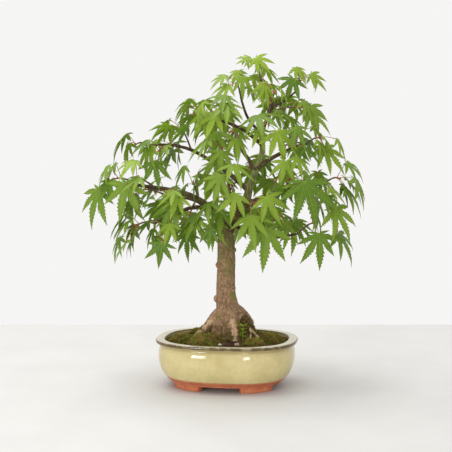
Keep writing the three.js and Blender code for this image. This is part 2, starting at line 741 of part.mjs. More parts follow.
function shootSolid(route, leaves, woodCutter) {
  const radii = [twigRadius, twigRadius, 0.9, tipRadius];
  const twig = limbGeometry(route.map((p, i) => pointOf(p, radii[i])), 4, 3);
  const stalks = leaves.map((leaf) => {
    const end = leafPoint(leaf, 0, leafMiddle);
    return limbGeometry([pointOf(leaf.foot, petioleRadius), pointOf(end, petioleRadius)], 3, 1);
  });
  const solids = [twig, ...stalks].map(toSolid);
  return joined([...solids, ...leaves.map(bladeSolid)])
    .rotate([0, 0, THREE.MathUtils.radToDeg(treeTurn)])
    .subtract(woodCutter);
}

// ---- Assembly ----
const bonsai = new THREE.Group();

function addMesh(name, solid, color, roughness) {
  const material = new THREE.MeshStandardMaterial({ color, roughness, metalness: 0 });
  const mesh = new THREE.Mesh(toGeometry(solid), material);
  mesh.name = name;
  bonsai.add(mesh);
  return mesh;
}

const wood = woodSolid();
const woodCutter = woodSolid(gap);
addMesh("pot", potSolid(), "#cdb98b", 0.25);
addMesh("drainage_screen_left", screenSolid(-drainOffset), "#2c2c2a", 0.6);
addMesh("drainage_screen_right", screenSolid(drainOffset), "#2c2c2a", 0.6);
addMesh("trunk", wood, "#8a6f52", 0.9);
addMesh("soil", soilSolid().subtract(woodCutter).subtract(screenPocket()), "#3d2f22", 0.95);
for (const [name, x, y, length, width, height] of mossCushions) {
  const cushion = mossSolid(x, y, length, width, height).subtract(woodCutter);
  addMesh("moss_" + name, largest(cushion), "#5c6b2a", 0.95);
}
for (const [name, x, y, size, color] of pebbles) {
  addMesh("pebble_" + name, pebbleSolid(x, y, size), color, 0.8);
}
addMesh("seedling", seedlingSolid(), "#8cc63f", 0.6);
for (const [side, x] of [["left", -drainOffset], ["right", drainOffset]]) {
  addMesh("screen_wire_" + side, toSolid(wireGeometry(x + screenPitch / 2)), "#a9acad", 0.4);
}
const { routes, leaves } = planFoliage();
for (const [name] of shoots) {
  const own = leaves.filter((leaf) => leaf.owner === name);
  addMesh("shoot_" + name, shootSolid(routes.get(name), own, woodCutter), "#6f9433", 0.55);
}

// The origin is under the middle of the whole tree and pot, where the feet stand.
const centre = new THREE.Box3().setFromObject(bonsai).getCenter(new THREE.Vector3());
bonsai.position.set(-centre.x, -centre.y, 0);

export default bonsai;
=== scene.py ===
# The looks of a Japanese maple bonsai in an oval glazed pot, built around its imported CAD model.
# Lengths in this script are millimetres in the part's own directions, before the part was centred,
# and are turned into the frame's metres when a mesh is made.
import math
import random
import bmesh
import bpy
from mathutils import Matrix, Vector, noise
from mathutils.kdtree import KDTree


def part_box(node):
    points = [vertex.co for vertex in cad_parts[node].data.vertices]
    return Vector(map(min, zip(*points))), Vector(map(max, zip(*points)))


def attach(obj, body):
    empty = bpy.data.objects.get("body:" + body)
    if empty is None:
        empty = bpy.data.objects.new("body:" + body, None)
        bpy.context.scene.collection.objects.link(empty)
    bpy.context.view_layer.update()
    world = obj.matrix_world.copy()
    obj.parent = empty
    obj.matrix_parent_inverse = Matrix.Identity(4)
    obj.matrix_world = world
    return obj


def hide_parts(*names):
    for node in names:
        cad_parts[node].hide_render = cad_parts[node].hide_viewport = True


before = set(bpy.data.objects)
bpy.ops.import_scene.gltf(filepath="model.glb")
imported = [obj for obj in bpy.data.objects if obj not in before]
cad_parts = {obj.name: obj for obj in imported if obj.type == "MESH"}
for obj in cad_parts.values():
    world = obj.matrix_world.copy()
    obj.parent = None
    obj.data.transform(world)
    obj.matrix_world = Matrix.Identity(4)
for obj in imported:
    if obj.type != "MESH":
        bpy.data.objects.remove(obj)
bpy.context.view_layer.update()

MM = 0.001

# ---- Driving dimensions, as in the part ----
POT_LENGTH = 180
POT_WIDTH = 146
POT_HEIGHT = 60
FOOT_HEIGHT = 7
FLOOR_THICKNESS = 7
RIM_WIDTH = 12
CORNER_FULLNESS = 2.5
DRAIN_OFFSET = 34
DRAIN_RADIUS = 8
SOIL_EDGE = 55.5
SOIL_MOUND = 9
TREE_TURN = math.radians(10)
GAP = 0.3
LEAF_CONE = 0.16
PETIOLE_RADIUS = 0.55
TWIG_RADIUS = 1.1
BLADE_CLEARANCE = 1.1
BLADE_MARGIN = 1
STALK_LEAST = 12
STALK_SPREAD = 14
TRIES_PER_LEAF = 60
SHRINK_PER_TRY = 0.004

pot_low, pot_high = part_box("pot")
SHIFT = ((pot_low + pot_high) / 2 / MM).to_2d()


def to_frame(p):
    """A point of the pot, in millimetres about its middle, in the frame's metres."""
    return Vector(((p[0] + SHIFT.x) * MM, (p[1] + SHIFT.y) * MM, p[2] * MM))


def turned(x, y):
    """A place in the tree's own directions, turned into the pot's."""
    cosine = math.cos(TREE_TURN)
    sine = math.sin(TREE_TURN)
    return x * cosine - y * sine, x * sine + y * cosine


def tree_to_frame(p):
    x, y = turned(p[0], p[1])
    return to_frame((x, y, p[2]))


# ---- Camera: the photograph's angle, level with the crown and looking slightly down ----
CAMERA_BACK = 1262
CAMERA_HEIGHT = 294
CAMERA_SIDE = -1.3
CAMERA_PITCH = math.radians(4.17)
camera_data = bpy.data.cameras.new("camera")
camera_data.lens = 79.65
camera_data.sensor_width = 36
camera_data.clip_start = 0.05
camera = bpy.data.objects.new("camera", camera_data)
camera.location = tree_to_frame((CAMERA_SIDE, -CAMERA_BACK, CAMERA_HEIGHT))
camera.rotation_euler = (math.pi / 2 - CAMERA_PITCH, 0, TREE_TURN)
bpy.context.collection.objects.link(camera)
bpy.context.scene.camera = camera

# ---- Small vector arithmetic in doubles, so that the foliage falls exactly as in the part ----
def add(a, b, scale=1.0):
    return (a[0] + b[0] * scale, a[1] + b[1] * scale, a[2] + b[2] * scale)


def sub(a, b):
    return (a[0] - b[0], a[1] - b[1], a[2] - b[2])


def times(a, scale):
    return (a[0] * scale, a[1] * scale, a[2] * scale)


def dot(a, b):
    return a[0] * b[0] + a[1] * b[1] + a[2] * b[2]


def cross(a, b):
    return (
        a[1] * b[2] - a[2] * b[1],
        a[2] * b[0] - a[0] * b[2],
        a[0] * b[1] - a[1] * b[0],
    )


def length_of(a):
    return math.sqrt(dot(a, a))


def unit(a):
    return times(a, 1 / length_of(a))


def lerp(a, b, share):
    return add(a, sub(b, a), share)


UP = (0.0, 0.0, 1.0)

# ---- The tree's plan, as in the part: [x, y, z, radius], front towards -Y ----
TRUNK_ROUTE = [
    [1, 0, 42, 26],
    [2, 0, 60, 27],
    [3, 0, 72, 25],
    [3, 0, 83, 20.5],
    [2, 0, 93, 16.2],
    [0, 0, 104, 13.8],
    [-1, 0, 118, 12.4],
    [-1, 0, 136, 11.6],
    [-1, 0, 156, 11.4],
    [-1, 0, 176, 10.7],
    [-1, 0, 194, 9.8],
    [5, 0, 208, 8.4],
    [16, -2, 220, 6.8],
    [24, -4, 234, 5.6],
    [28, -6, 250, 4.7],
    [35, -6, 270, 4.1],
    [44, -4, 295, 3.5],
    [42, 0, 320, 2.8],
]
ROOTS = [
    [[-4, -4, 96, 8], [-16, -9, 86, 7], [-26, -13, 74, 5.8], [-37, -16, 64, 4.8], [-47, -18, 51, 4]],
    [[-4, -6, 96, 8], [-10, -17, 78, 7], [-15, -26, 64, 5.5], [-19, -34, 50, 4]],
    [[4, -6, 98, 8], [7, -14, 86, 7], [9, -22, 72, 6.5], [10, -29, 52, 5.5]],
    [[6, 0, 98, 9], [17, -4, 90, 9], [25, -8, 79, 8], [29, -12, 65, 7], [36, -15, 50, 4.5]],
    [[23, -12, 80, 2.2], [30, -19, 73, 1.7], [38, -23, 65, 1.5], [48, -25, 54, 1.3]],
    [[23, -12, 80, 2], [29.5, -22, 72, 1.4], [29, -28, 62, 1.2], [28.5, -30, 53, 1.1]],
    [[-4, 6, 96, 8], [-14, 20, 78, 7], [-22, 32, 64, 5.5], [-28, 42, 50, 4]],
    [[6, 6, 96, 8], [16, 18, 80, 7.5], [25, 32, 64, 6], [30, 42, 50, 4.5]],
]
LIMBS = {
    "trunk": TRUNK_ROUTE,
    "left": [[-2, 0, 196, 7], [-10, -3, 212, 5.4], [-28, -6, 230, 4.8], [-48, -8, 241, 4.2],
        [-75, -8, 248, 3.4], [-100, -6, 252, 2.6], [-122, -6, 256, 2]],
    "left_low": [[-22, -6, 225, 3.2], [-46, -20, 226, 2.6], [-68, -30, 216, 2.2], [-90, -32, 208, 1.8]],
    "left_up": [[28, -5, 246, 3.6], [5, -4, 266, 3], [-20, -4, 284, 2.6], [-45, -4, 298, 2.2],
        [-70, -4, 304, 1.9], [-95, -2, 304, 1.6]],
    "left_back": [[-16, -4, 219, 3.4], [-35, 15, 232, 3], [-60, 32, 238, 2.5], [-85, 40, 240, 1.9]],
    "right_low": [[0, -2, 206, 3], [16, -8, 200, 2.4], [34, -14, 191, 2.1], [60, -20, 189, 1.8],
        [88, -24, 194, 1.6]],
    "right": [[20, -4, 226, 4.4], [45, -8, 238, 3.8], [72, -10, 246, 3], [98, -10, 252, 2.4],
        [122, -6, 256, 1.8]],
    "right_back": [[20, -3, 224, 3.8], [35, 18, 232, 3.2], [55, 38, 240, 2.6], [80, 45, 246, 2]],
    "back": [[7, 0, 208, 4.2], [8, 22, 222, 3.6], [4, 45, 238, 3], [2, 66, 254, 2.2]],
    "front": [[16, -2, 219, 3.8], [12, -18, 228, 3.2], [8, -36, 240, 2.6], [8, -52, 250, 2]],
    "right_up": [[36, -6, 274, 3.2], [60, -8, 290, 2.7], [82, -8, 300, 2.2], [100, -8, 306, 1.7]],
    "back_up": [[35, -6, 270, 3], [28, 14, 285, 2.6], [18, 36, 300, 2.1], [14, 52, 312, 1.7]],
    "up_left": [[43, -3, 305, 2.6], [22, -4, 322, 2.3], [0, -4, 332, 2], [-20, -2, 338, 1.7]],
    "top": [[43, -1, 314, 2.7], [50, -2, 338, 2.2], [57, -2, 355, 1.9], [48, -2, 372, 1.6],
        [42, 0, 386, 1.4]],
    "top_right": [[56, -2, 352, 1.9], [70, -4, 358, 1.7], [85, -6, 370, 1.4]],
    "top_left": [[43, 0, 318, 2.2], [26, -4, 338, 1.8], [18, -8, 360, 1.5]],
}
# A shoot: name, the branch it grows from, its place along that branch, its tip's x, y and z, how many
# leaves it tries for and their length.
SHOOTS = [
    ["left_tip", "left", 5.6, -140, -8, 262, 5, 44],
    ["left_front", "left", 4.6, -112, -36, 262, 6, 44],
    ["left_middle", "left", 3.4, -74, -44, 248, 6, 42],
    ["left_low_front", "left_low", 2.2, -78, -48, 204, 5, 36],
    ["left_low_end", "left_low", 3, -112, -34, 204, 4, 38],
    ["left_low_out", "left_low", 2.6, -120, -8, 200, 4, 34],
    ["left_back_out", "left_back", 2.8, -112, 30, 246, 5, 42],
    ["left_back", "left_back", 2.2, -82, 62, 240, 6, 42],
    ["left_back_low", "left_back", 1.2, -50, 48, 208, 5, 40],
    ["left_up_end", "left_up", 5, -116, -4, 304, 5, 38],
    ["left_up_front", "left_up", 4, -84, -34, 296, 6, 38],
    ["left_up_back", "left_up", 3.4, -74, 34, 304, 6, 40],
    ["left_inner", "left", 2.4, -42, -42, 258, 6, 42],
    ["left_crown", "left_up", 3, -56, -14, 322, 6, 38],
    ["front_low_left", "left_low", 0.4, -26, -42, 218, 6, 40],
    ["front_middle", "front", 3, -2, -68, 262, 5, 42],
    ["front_low_right", "front", 2, 34, -62, 232, 5, 46],
    ["front_upper", "left_up", 1.4, -6, -46, 300, 6, 40],
    ["right_front", "right", 2, 78, -52, 264, 5, 48],
    ["right_low_end", "right_low", 4, 108, -34, 208, 4, 42],
    ["right_low_middle", "right_low", 2.6, 54, -40, 210, 4, 42],
    ["right_out", "right", 3.2, 124, -24, 240, 5, 44],
    ["right_tip", "right", 4, 142, 2, 262, 5, 42],
    ["right_back_out", "right_back", 3, 110, 42, 248, 5, 42],
    ["right_back_low", "right_back", 1.6, 66, 52, 212, 5, 40],
    ["right_back", "right_back", 2.2, 66, 74, 258, 5, 42],
    ["right_upper", "right_up", 3, 116, -20, 312, 5, 40],
    ["right_upper_front", "right_up", 1.4, 74, -42, 304, 6, 40],
    ["right_upper_back", "right_up", 2.2, 92, 30, 318, 5, 40],
    ["back_low", "back", 1.4, 12, 62, 218, 5, 40],
    ["back_end", "back", 3, -14, 92, 262, 5, 42],
    ["back_right", "back", 2.4, 34, 90, 278, 5, 42],
    ["back_upper", "back_up", 3, 6, 70, 322, 6, 40],
    ["upper_left_end", "up_left", 3, -34, -8, 346, 6, 38],
    ["upper_left_front", "up_left", 2, -10, -34, 346, 6, 38],
    ["upper_left_back", "up_left", 1.6, -14, 36, 348, 6, 38],
    ["upper_front", "up_left", 0.3, 46, -38, 330, 6, 42],
    ["upper_right", "top", 1.4, 92, -10, 350, 6, 36],
    ["upper_right_back", "top", 1, 70, 38, 350, 6, 38],
    ["upper_middle", "trunk", 16.7, 58, -34, 368, 6, 34],
    ["top_left", "top_left", 2, 12, -14, 380, 6, 32],
    ["top_end", "top", 4, 38, 0, 402, 4, 27],
    ["top_right", "top_right", 2, 92, -8, 384, 6, 28],
    ["top_back", "top", 2.8, 44, 32, 380, 6, 32],
]
# A chosen leaf: the shoot, where the stalk meets the blade, the blade's tip, and its compass turn.
CHOSEN_LEAVES = [
    ["left_tip", -160, -12, 248, -180, -20, 204, -40],
    ["left_tip", -150, 8, 256, -184, 14, 232, -70],
    ["left_front", -122, -44, 256, -136, -52, 211, -12],
    ["left_low_front", -78, -62, 186, -84, -66, 155, 5],
    ["left_low_out", -134, -12, 188, -148, -20, 160, -60],
    ["left_middle", -62, -58, 234, -86, -66, 200, -15],
    ["left_up_front", -88, -44, 284, -82, -56, 252, 10],
    ["front_middle", -8, -78, 268, -16, -86, 234, -5],
    ["front_middle", 10, -74, 246, 4, -84, 212, 8],
    ["front_low_right", 48, -74, 204, 42, -82, 152, 6],
    ["front_low_right", 46, -76, 242, 66, -84, 210, 12],
    ["front_low_left", -20, -56, 204, -24, -62, 178, -10],
    ["right_front", 92, -74, 260, 114, -84, 206, 14],
    ["right_front", 70, -58, 284, 62, -66, 254, -6],
    ["right_low_end", 112, -44, 196, 116, -52, 152, 8],
    ["right_out", 132, -36, 226, 160, -42, 190, 40],
    ["right_out", 138, -24, 194, 166, -28, 162, 60],
    ["right_tip", 150, -4, 250, 178, -8, 220, 70],
    ["right_tip", 152, 10, 262, 182, 16, 238, 90],
    ["right_upper", 118, -28, 302, 112, -38, 276, 20],
    ["right_upper", 122, -16, 300, 152, -20, 272, 40],
    ["upper_front", 60, -52, 320, 74, -60, 282, 10],
    ["upper_right", 102, -16, 352, 120, -24, 322, 25],
    ["top_right", 82, -16, 386, 70, -22, 356, -10],
    ["top_right", 104, -10, 392, 126, -14, 374, 40],
    ["top_left", 18, -22, 388, 20, -34, 362, 0],
    ["top_left", 2, -12, 378, -22, -18, 362, -50],
    ["top_end", 36, -6, 412, 56, -16, 396, 20],
    ["top_end", 30, 0, 412, 12, -8, 408, -30],
    ["upper_left_end", -24, -20, 344, -46, -28, 314, -30],
]
# Half of a leaf's rough outline: the angle and reach of its tips and notches.
LEAF_HALF = [
    [19, 0.32],
    [38, 0.9],
    [57, 0.28],
    [78, 0.66],
    [122, 0.26],
]
LEAF_OUTLINE = [
    [0, 1],
    *LEAF_HALF,
    [180, 0.04],
    *[[360 - angle, reach] for angle, reach in reversed(LEAF_HALF)],
]


def random_from(seed):
    """A random source that gives the same numbers as the part's."""
    state = seed

    def draw():
        nonlocal state
        state = (state * 16807) % 2147483647
        return state / 2147483647

    return draw


class Leaf:
    """Where a blade is, how it is turned, and the outline that its neighbours must clear."""

    def __init__(self, foot, pivot, tip, turn):
        along = sub(tip, pivot)
        self.size = length_of(along)
        self.along = times(along, 1 / self.size)
        face = (math.sin(turn), -math.cos(turn), 0.35)
        self.normal = unit(add(face, self.along, -dot(face, self.along)))
        self.side = cross(self.normal, self.along)
        self.foot = foot
        self.pivot = pivot
        self.ring = [self.point(angle, reach) for angle, reach in LEAF_OUTLINE]
        self.middle = add(pivot, self.along, 0.4 * self.size)
        self.owner = None

    def point(self, angle, reach):
        radians = math.radians(angle)
        distance = reach * self.size
        p = add(self.pivot, self.along, distance * math.cos(radians))
        p = add(p, self.side, distance * math.sin(radians))
        return add(p, self.normal, -LEAF_CONE * distance)

    def under(self, point, margin):
        """How far a point stands above the blade's surface, and whether it is over the blade."""
        away = sub(point, self.pivot)
        x = dot(away, self.along)
        y = dot(away, self.side)
        distance = math.hypot(x, y)
        height = dot(away, self.normal) + LEAF_CONE * distance
        angle = math.degrees(abs(math.atan2(y, x)))
        reach = LEAF_OUTLINE[len(LEAF_HALF) + 1][1]
        for i in range(len(LEAF_HALF) + 1):
            low, first = LEAF_OUTLINE[i]
            high, second = LEAF_OUTLINE[i + 1]
            if low <= angle <= high:
                reach = first + ((second - first) * (angle - low)) / (high - low)
        return height, distance < reach * self.size + margin


def stroke_meets_leaf(start, end, radius, leaf):
    clearance = radius + BLADE_CLEARANCE
    margin = radius + BLADE_MARGIN
    height_a, over_a = leaf.under(start, margin)
    height_b, over_b = leaf.under(end, margin)
    if abs(height_a) < clearance and over_a:
        return True
    if abs(height_b) < clearance and over_b:
        return True
    if height_a * height_b > 0:
        return False
    share = height_a / (height_a - height_b)
    return leaf.under(lerp(start, end, share), margin)[1]


def ring_meets_leaf(ring, leaf):
    count = len(ring)
    return any(stroke_meets_leaf(ring[i], ring[(i + 1) % count], 0, leaf) for i in range(count))


def leaves_meet(a, b):
    if length_of(sub(a.middle, b.middle)) > 0.72 * (a.size + b.size):
        return False
    return ring_meets_leaf(a.ring, b) or ring_meets_leaf(b.ring, a)


def stroke_distance(a, b, c, d):
    """The least distance between two straight strokes."""
    u = sub(b, a)
    v = sub(d, c)
    w = sub(a, c)
    uu = dot(u, u)
    uv = dot(u, v)
    vv = dot(v, v)
    uw = dot(u, w)
    vw = dot(v, w)
    determinant = uu * vv - uv * uv
    s = min(1, max(0, (uv * vw - vv * uw) / determinant)) if determinant > 1e-9 else 0
    t = min(1, max(0, (uv * s + vw) / vv))
    again = min(1, max(0, (uv * t - uw) / uu))
    return length_of(sub(add(a, u, again), add(c, v, t)))


def limb_place(points, place):
    before = min(math.floor(place), len(points) - 2)
    return lerp(points[before][:3], points[before + 1][:3], place - before)


def wood_strokes():
    strokes = []
    for points in LIMBS.values():
        for first, second in zip(points, points[1:]):
            strokes.append((first[:3], second[:3], max(first[3], second[3]), "wood"))
    return strokes


def twig_route(row):
    start = limb_place(LIMBS[row[1]], row[2])
    end = (row[3], row[4], row[5])
    third = add(lerp(start, end, 0.35), UP, 2.5)
    most = add(lerp(start, end, 0.7), UP, 3)
    return [start, third, most, end]


def leaf_fits(leaf, owner, leaves, strokes):
    for other in leaves:
        if leaves_meet(leaf, other):
            return False
        if length_of(sub(leaf.middle, other.middle)) > leaf.size + other.size:
            continue
        if stroke_meets_leaf(leaf.foot, leaf.pivot, PETIOLE_RADIUS, other):
            return False
        if stroke_meets_leaf(other.foot, other.pivot, PETIOLE_RADIUS, leaf):
            return False
    for start, end, radius, stroke_owner in strokes:
        if stroke_meets_leaf(start, end, radius, leaf):
            return False
        if stroke_owner == owner:
            continue
        least = radius + PETIOLE_RADIUS + 2 * GAP
        if stroke_distance(leaf.foot, leaf.pivot, start, end) < least:
            return False
    return True


def stalk_foot(route, count):
    back = 0.08 + 0.42 * (count // 2) + 0.12 * (count % 2)
    return lerp(route[3], route[2], back)


def grown_leaf(route, count, size, draw):
    end = route[3]
    foot = stalk_foot(route, count)
    forward = unit(sub(end, route[1]))
    spread = 2 * math.pi * draw()
    across = unit(cross(forward, UP))
    over = cross(across, forward)
    stalk = times(forward, 0.5 + 0.5 * draw())
    stalk = add(stalk, across, math.cos(spread))
    stalk = unit(add(stalk, over, 0.2 + 0.8 * math.sin(spread)))
    pivot = add(foot, stalk, STALK_LEAST + STALK_SPREAD * draw())
    outward = math.atan2(pivot[0] - 15, -pivot[1])
    turn = outward + 1.3 * (draw() - 0.5)
    dip = math.radians(25 + 50 * draw())
    hanging = times((math.sin(turn), -math.cos(turn), 0), math.cos(dip))
    hanging = add(hanging, UP, -math.sin(dip))
    length = size * (0.72 + 0.36 * draw())
    tip = add(pivot, hanging, length)
    return Leaf(foot, pivot, tip, turn + 0.8 * (draw() - 0.5))


def plan_foliage():
    """Every shoot's twig and leaves: the chosen leaves first, then the others where there is room."""
    strokes = wood_strokes()
    routes = {}
    for row in SHOOTS:
        route = twig_route(row)
        routes[row[0]] = route
        for i in range(3):
            strokes.append((route[i], route[i + 1], TWIG_RADIUS, row[0]))
    leaves = []

    def keep(leaf, owner):
        leaf.owner = owner
        leaves.append(leaf)
        strokes.append((leaf.foot, leaf.pivot, PETIOLE_RADIUS, owner))

    for row in CHOSEN_LEAVES:
        owner = row[0]
        already = sum(leaf.owner == owner for leaf in leaves)
        foot = stalk_foot(routes[owner], already)
        leaf = Leaf(foot, tuple(row[1:4]), tuple(row[4:7]), math.radians(row[7]))
        if leaf_fits(leaf, owner, leaves, strokes):
            keep(leaf, owner)
    for index, row in enumerate(SHOOTS):
        owner = row[0]
        wanted, size = row[6:8]
        draw = random_from(1000 + 77 * index)
        already = sum(leaf.owner == owner for leaf in leaves)
        for count in range(already, wanted):
            for attempt in range(TRIES_PER_LEAF):
                shrink = 1 - SHRINK_PER_TRY * attempt
                leaf = grown_leaf(routes[owner], count, size * shrink, draw)
                if leaf_fits(leaf, owner, leaves, strokes):
                    keep(leaf, owner)
                    break
    return routes, leaves


# ---- Material helpers ----
def srgb(code):
    """A colour code such as "8faa3a" as linear red, green, blue and alpha."""
    channels = [int(code[i:i + 2], 16) / 255 for i in (0, 2, 4)]
    linear = [c / 12.92 if c <= 0.04045 else ((c + 0.055) / 1.055) ** 2.4 for c in channels]
    return (*linear, 1.0)


class Shader:
    """A material's node tree, with short calls for the nodes that these materials use."""

    def __init__(self, name, roughness=0.6, **sockets):
        self.material = bpy.data.materials.new(name)
        self.material.use_nodes = True
        self.tree = self.material.node_tree
        self.bsdf = self.tree.nodes["Principled BSDF"]
        self.bsdf.inputs["Roughness"].default_value = roughness
        for socket, value in sockets.items():
            self.bsdf.inputs[socket.replace("_", " ")].default_value = value
        self.place = self.node("ShaderNodeNewGeometry").outputs["Position"]

    def node(self, kind):
        return self.tree.nodes.new(kind)

    def link(self, source, target):
        """Joins a node's output, a number, a row of numbers or a colour code to a socket."""
        if isinstance(source, str):
            source = srgb(source)
        if isinstance(source, (int, float)):
            target.default_value = source
        elif isinstance(source, tuple):
            target.default_value = source if len(source) == len(target.default_value) else source[:3]
        else:
            self.tree.links.new(source, target)

    def noise(self, scale, detail=4.0, roughness=0.55, stretch=None, distortion=0.0):
        """Fine noise over the frame, from 0 to 1; scale counts features to the metre."""
        texture = self.node("ShaderNodeTexNoise")
        texture.inputs["Scale"].default_value = scale
        texture.inputs["Detail"].default_value = detail
        texture.inputs["Roughness"].default_value = roughness
        texture.inputs["Distortion"].default_value = distortion
        self.link(self.stretched(stretch), texture.inputs["Vector"])
        return texture.outputs["Fac"]

    def cells(self, scale, feature="F1", output="Distance", stretch=None):
        texture = self.node("ShaderNodeTexVoronoi")
        texture.feature = feature
        texture.inputs["Scale"].default_value = scale
        self.link(self.stretched(stretch), texture.inputs["Vector"])
        return texture.outputs[output]

    def stretched(self, stretch):
        if stretch is None:
            return self.place
        scaled = self.node("ShaderNodeVectorMath")
        scaled.operation = "MULTIPLY"
        self.link(self.place, scaled.inputs[0])
        scaled.inputs[1].default_value = stretch
        return scaled.outputs[0]

    def axis(self, name):
        parts = self.node("ShaderNodeSeparateXYZ")
        self.link(self.place, parts.inputs[0])
        return parts.outputs[name]

    def math(self, operation, a, b=0.0):
        step = self.node("ShaderNodeMath")
        step.operation = operation
        for source, target in zip((a, b), step.inputs):
            self.link(source, target)
        return step.outputs[0]

    def times(self, a, b):
        return self.math("MULTIPLY", a, b)

    def plus(self, a, b):
        return self.math("ADD", a, b)

    def ramp(self, value, low, high, out_low=0.0, out_high=1.0):
        """Value from low..high, smoothly and clamped, as out_low..out_high."""
        step = self.node("ShaderNodeMapRange")
        step.interpolation_type = "SMOOTHSTEP"
        for name, number in zip(("From Min", "From Max", "To Min", "To Max"), (low, high, out_low, out_high)):
            step.inputs[name].default_value = number
        self.link(value, step.inputs["Value"])
        return step.outputs[0]

    def mix(self, share, a, b, blend="MIX"):
        step = self.node("ShaderNodeMix")
        step.data_type = "RGBA"
        step.blend_type = blend
        self.link(share, step.inputs[0])
        self.link(a, step.inputs[6])
        self.link(b, step.inputs[7])
        return step.outputs[2]

    def attribute(self, name):
        step = self.node("ShaderNodeAttribute")
        step.attribute_name = name
        return step.outputs["Fac"]

    def color(self, source):
        self.link(source, self.bsdf.inputs["Base Color"])

    def rough(self, source):
        self.link(source, self.bsdf.inputs["Roughness"])

    def bump(self, height, distance, strength=1.0):
        step = self.node("ShaderNodeBump")
        step.inputs["Distance"].default_value = distance
        step.inputs["Strength"].default_value = strength
        self.link(height, step.inputs["Height"])
        self.link(step.outputs[0], self.bsdf.inputs["Normal"])
        return step.outputs[0]


def pot_radius(shader):
    """How far out a point is in the pot's oval, as a half length along X, in metres."""
    power = CORNER_FULLNESS
    x = shader.math("ABSOLUTE", shader.math("SUBTRACT", shader.axis("X"), SHIFT.x * MM))
    y = shader.math("ABSOLUTE", shader.math("SUBTRACT", shader.axis("Y"), SHIFT.y * MM))
    y = shader.times(y, POT_LENGTH / POT_WIDTH)
    total = shader.plus(shader.math("POWER", x, power), shader.math("POWER", y, power))
    return shader.math("POWER", total, 1 / power)


def glaze_material():
    """Cream glaze over terracotta: thin and brown at sharp rims, ending in a wavy edge near the feet."""
    s = Shader("glazed_stoneware", roughness=0.16, Specular_IOR_Level=0.5)
    z = s.axis("Z")
    radius = pot_radius(s)
    wobble = s.ramp(s.noise(70, 2), 0.3, 0.7, -0.0009, 0.0009)
    edge = s.plus(z, wobble)
    glazed_outside = s.ramp(edge, 0.0090, 0.0094)
    inside = s.ramp(radius, 0.0775, 0.0785)
    below_lip = s.ramp(z, 0.0545, 0.056)
    glazed = s.times(glazed_outside, s.math("MAXIMUM", inside, below_lip))
    cloud = s.noise(38, 5, 0.6)
    cream = s.mix(s.ramp(cloud, 0.3, 0.75), "c9bb88", "b7a871")
    cream = s.mix(s.ramp(s.noise(260, 3), 0.45, 0.8, 0, 0.4), cream, "b5a468")
    speck = s.ramp(s.cells(520), 0.05, 0.12, 1, 0)
    rare = s.ramp(s.noise(160, 1), 0.56, 0.62)
    cream = s.mix(s.times(speck, s.times(rare, 0.75)), cream, "6d5a3c")
    pale_top = s.ramp(z, 0.0588, 0.0596)
    cream = s.mix(s.times(pale_top, 0.6), cream, "c9c0a6")
    # A darker band on the neck, in the recess under the rim's lip.
    darker_neck = s.times(s.ramp(z, 0.0505, 0.053), s.ramp(z, 0.0545, 0.0562, 1, 0))
    cream = s.mix(s.times(darker_neck, 0.5), cream, "84713f")
    roll = s.times(s.ramp(edge, 0.0091, 0.0095), s.ramp(edge, 0.0098, 0.0114, 1, 0))
    cream = s.mix(s.times(roll, 0.6), cream, "8f7448")
    thin = s.noise(120, 3)
    outer = s.ramp(s.plus(radius, s.ramp(thin, 0.3, 0.7, -0.0003, 0.0003)), 0.0884, 0.0893)
    outer = s.times(outer, s.ramp(z, 0.0555, 0.0565))
    inner = s.times(s.ramp(radius, 0.0788, 0.0794, 1, 0), s.ramp(z, 0.0578, 0.0588))
    rims = s.times(s.math("MAXIMUM", outer, inner), s.ramp(thin, 0.25, 0.6, 0.75, 1.0))
    cream = s.mix(rims, cream, "564529")
    grain = s.noise(420, 4, 0.65)
    clay = s.mix(s.ramp(s.noise(60, 3), 0.3, 0.7), "b5643f", "c57a55")
    clay = s.mix(s.ramp(grain, 0.35, 0.75, 0, 0.5), clay, "8f4727")
    s.color(s.mix(glazed, clay, cream))
    gloss = s.ramp(s.noise(300, 2), 0.3, 0.8, 0.06, 0.14)
    s.rough(s.plus(s.times(glazed, s.math("SUBTRACT", gloss, 0.85)), 0.85))
    rough_clay = s.times(s.math("SUBTRACT", 1.0, glazed), grain)
    wavy = s.times(s.noise(45, 2), 0.9)
    lift = s.times(glazed, s.plus(1.2, wavy))
    pits = s.times(speck, s.times(rare, -0.6))
    s.bump(s.plus(s.plus(rough_clay, lift), pits), 0.0004, 0.6)
    return s.material


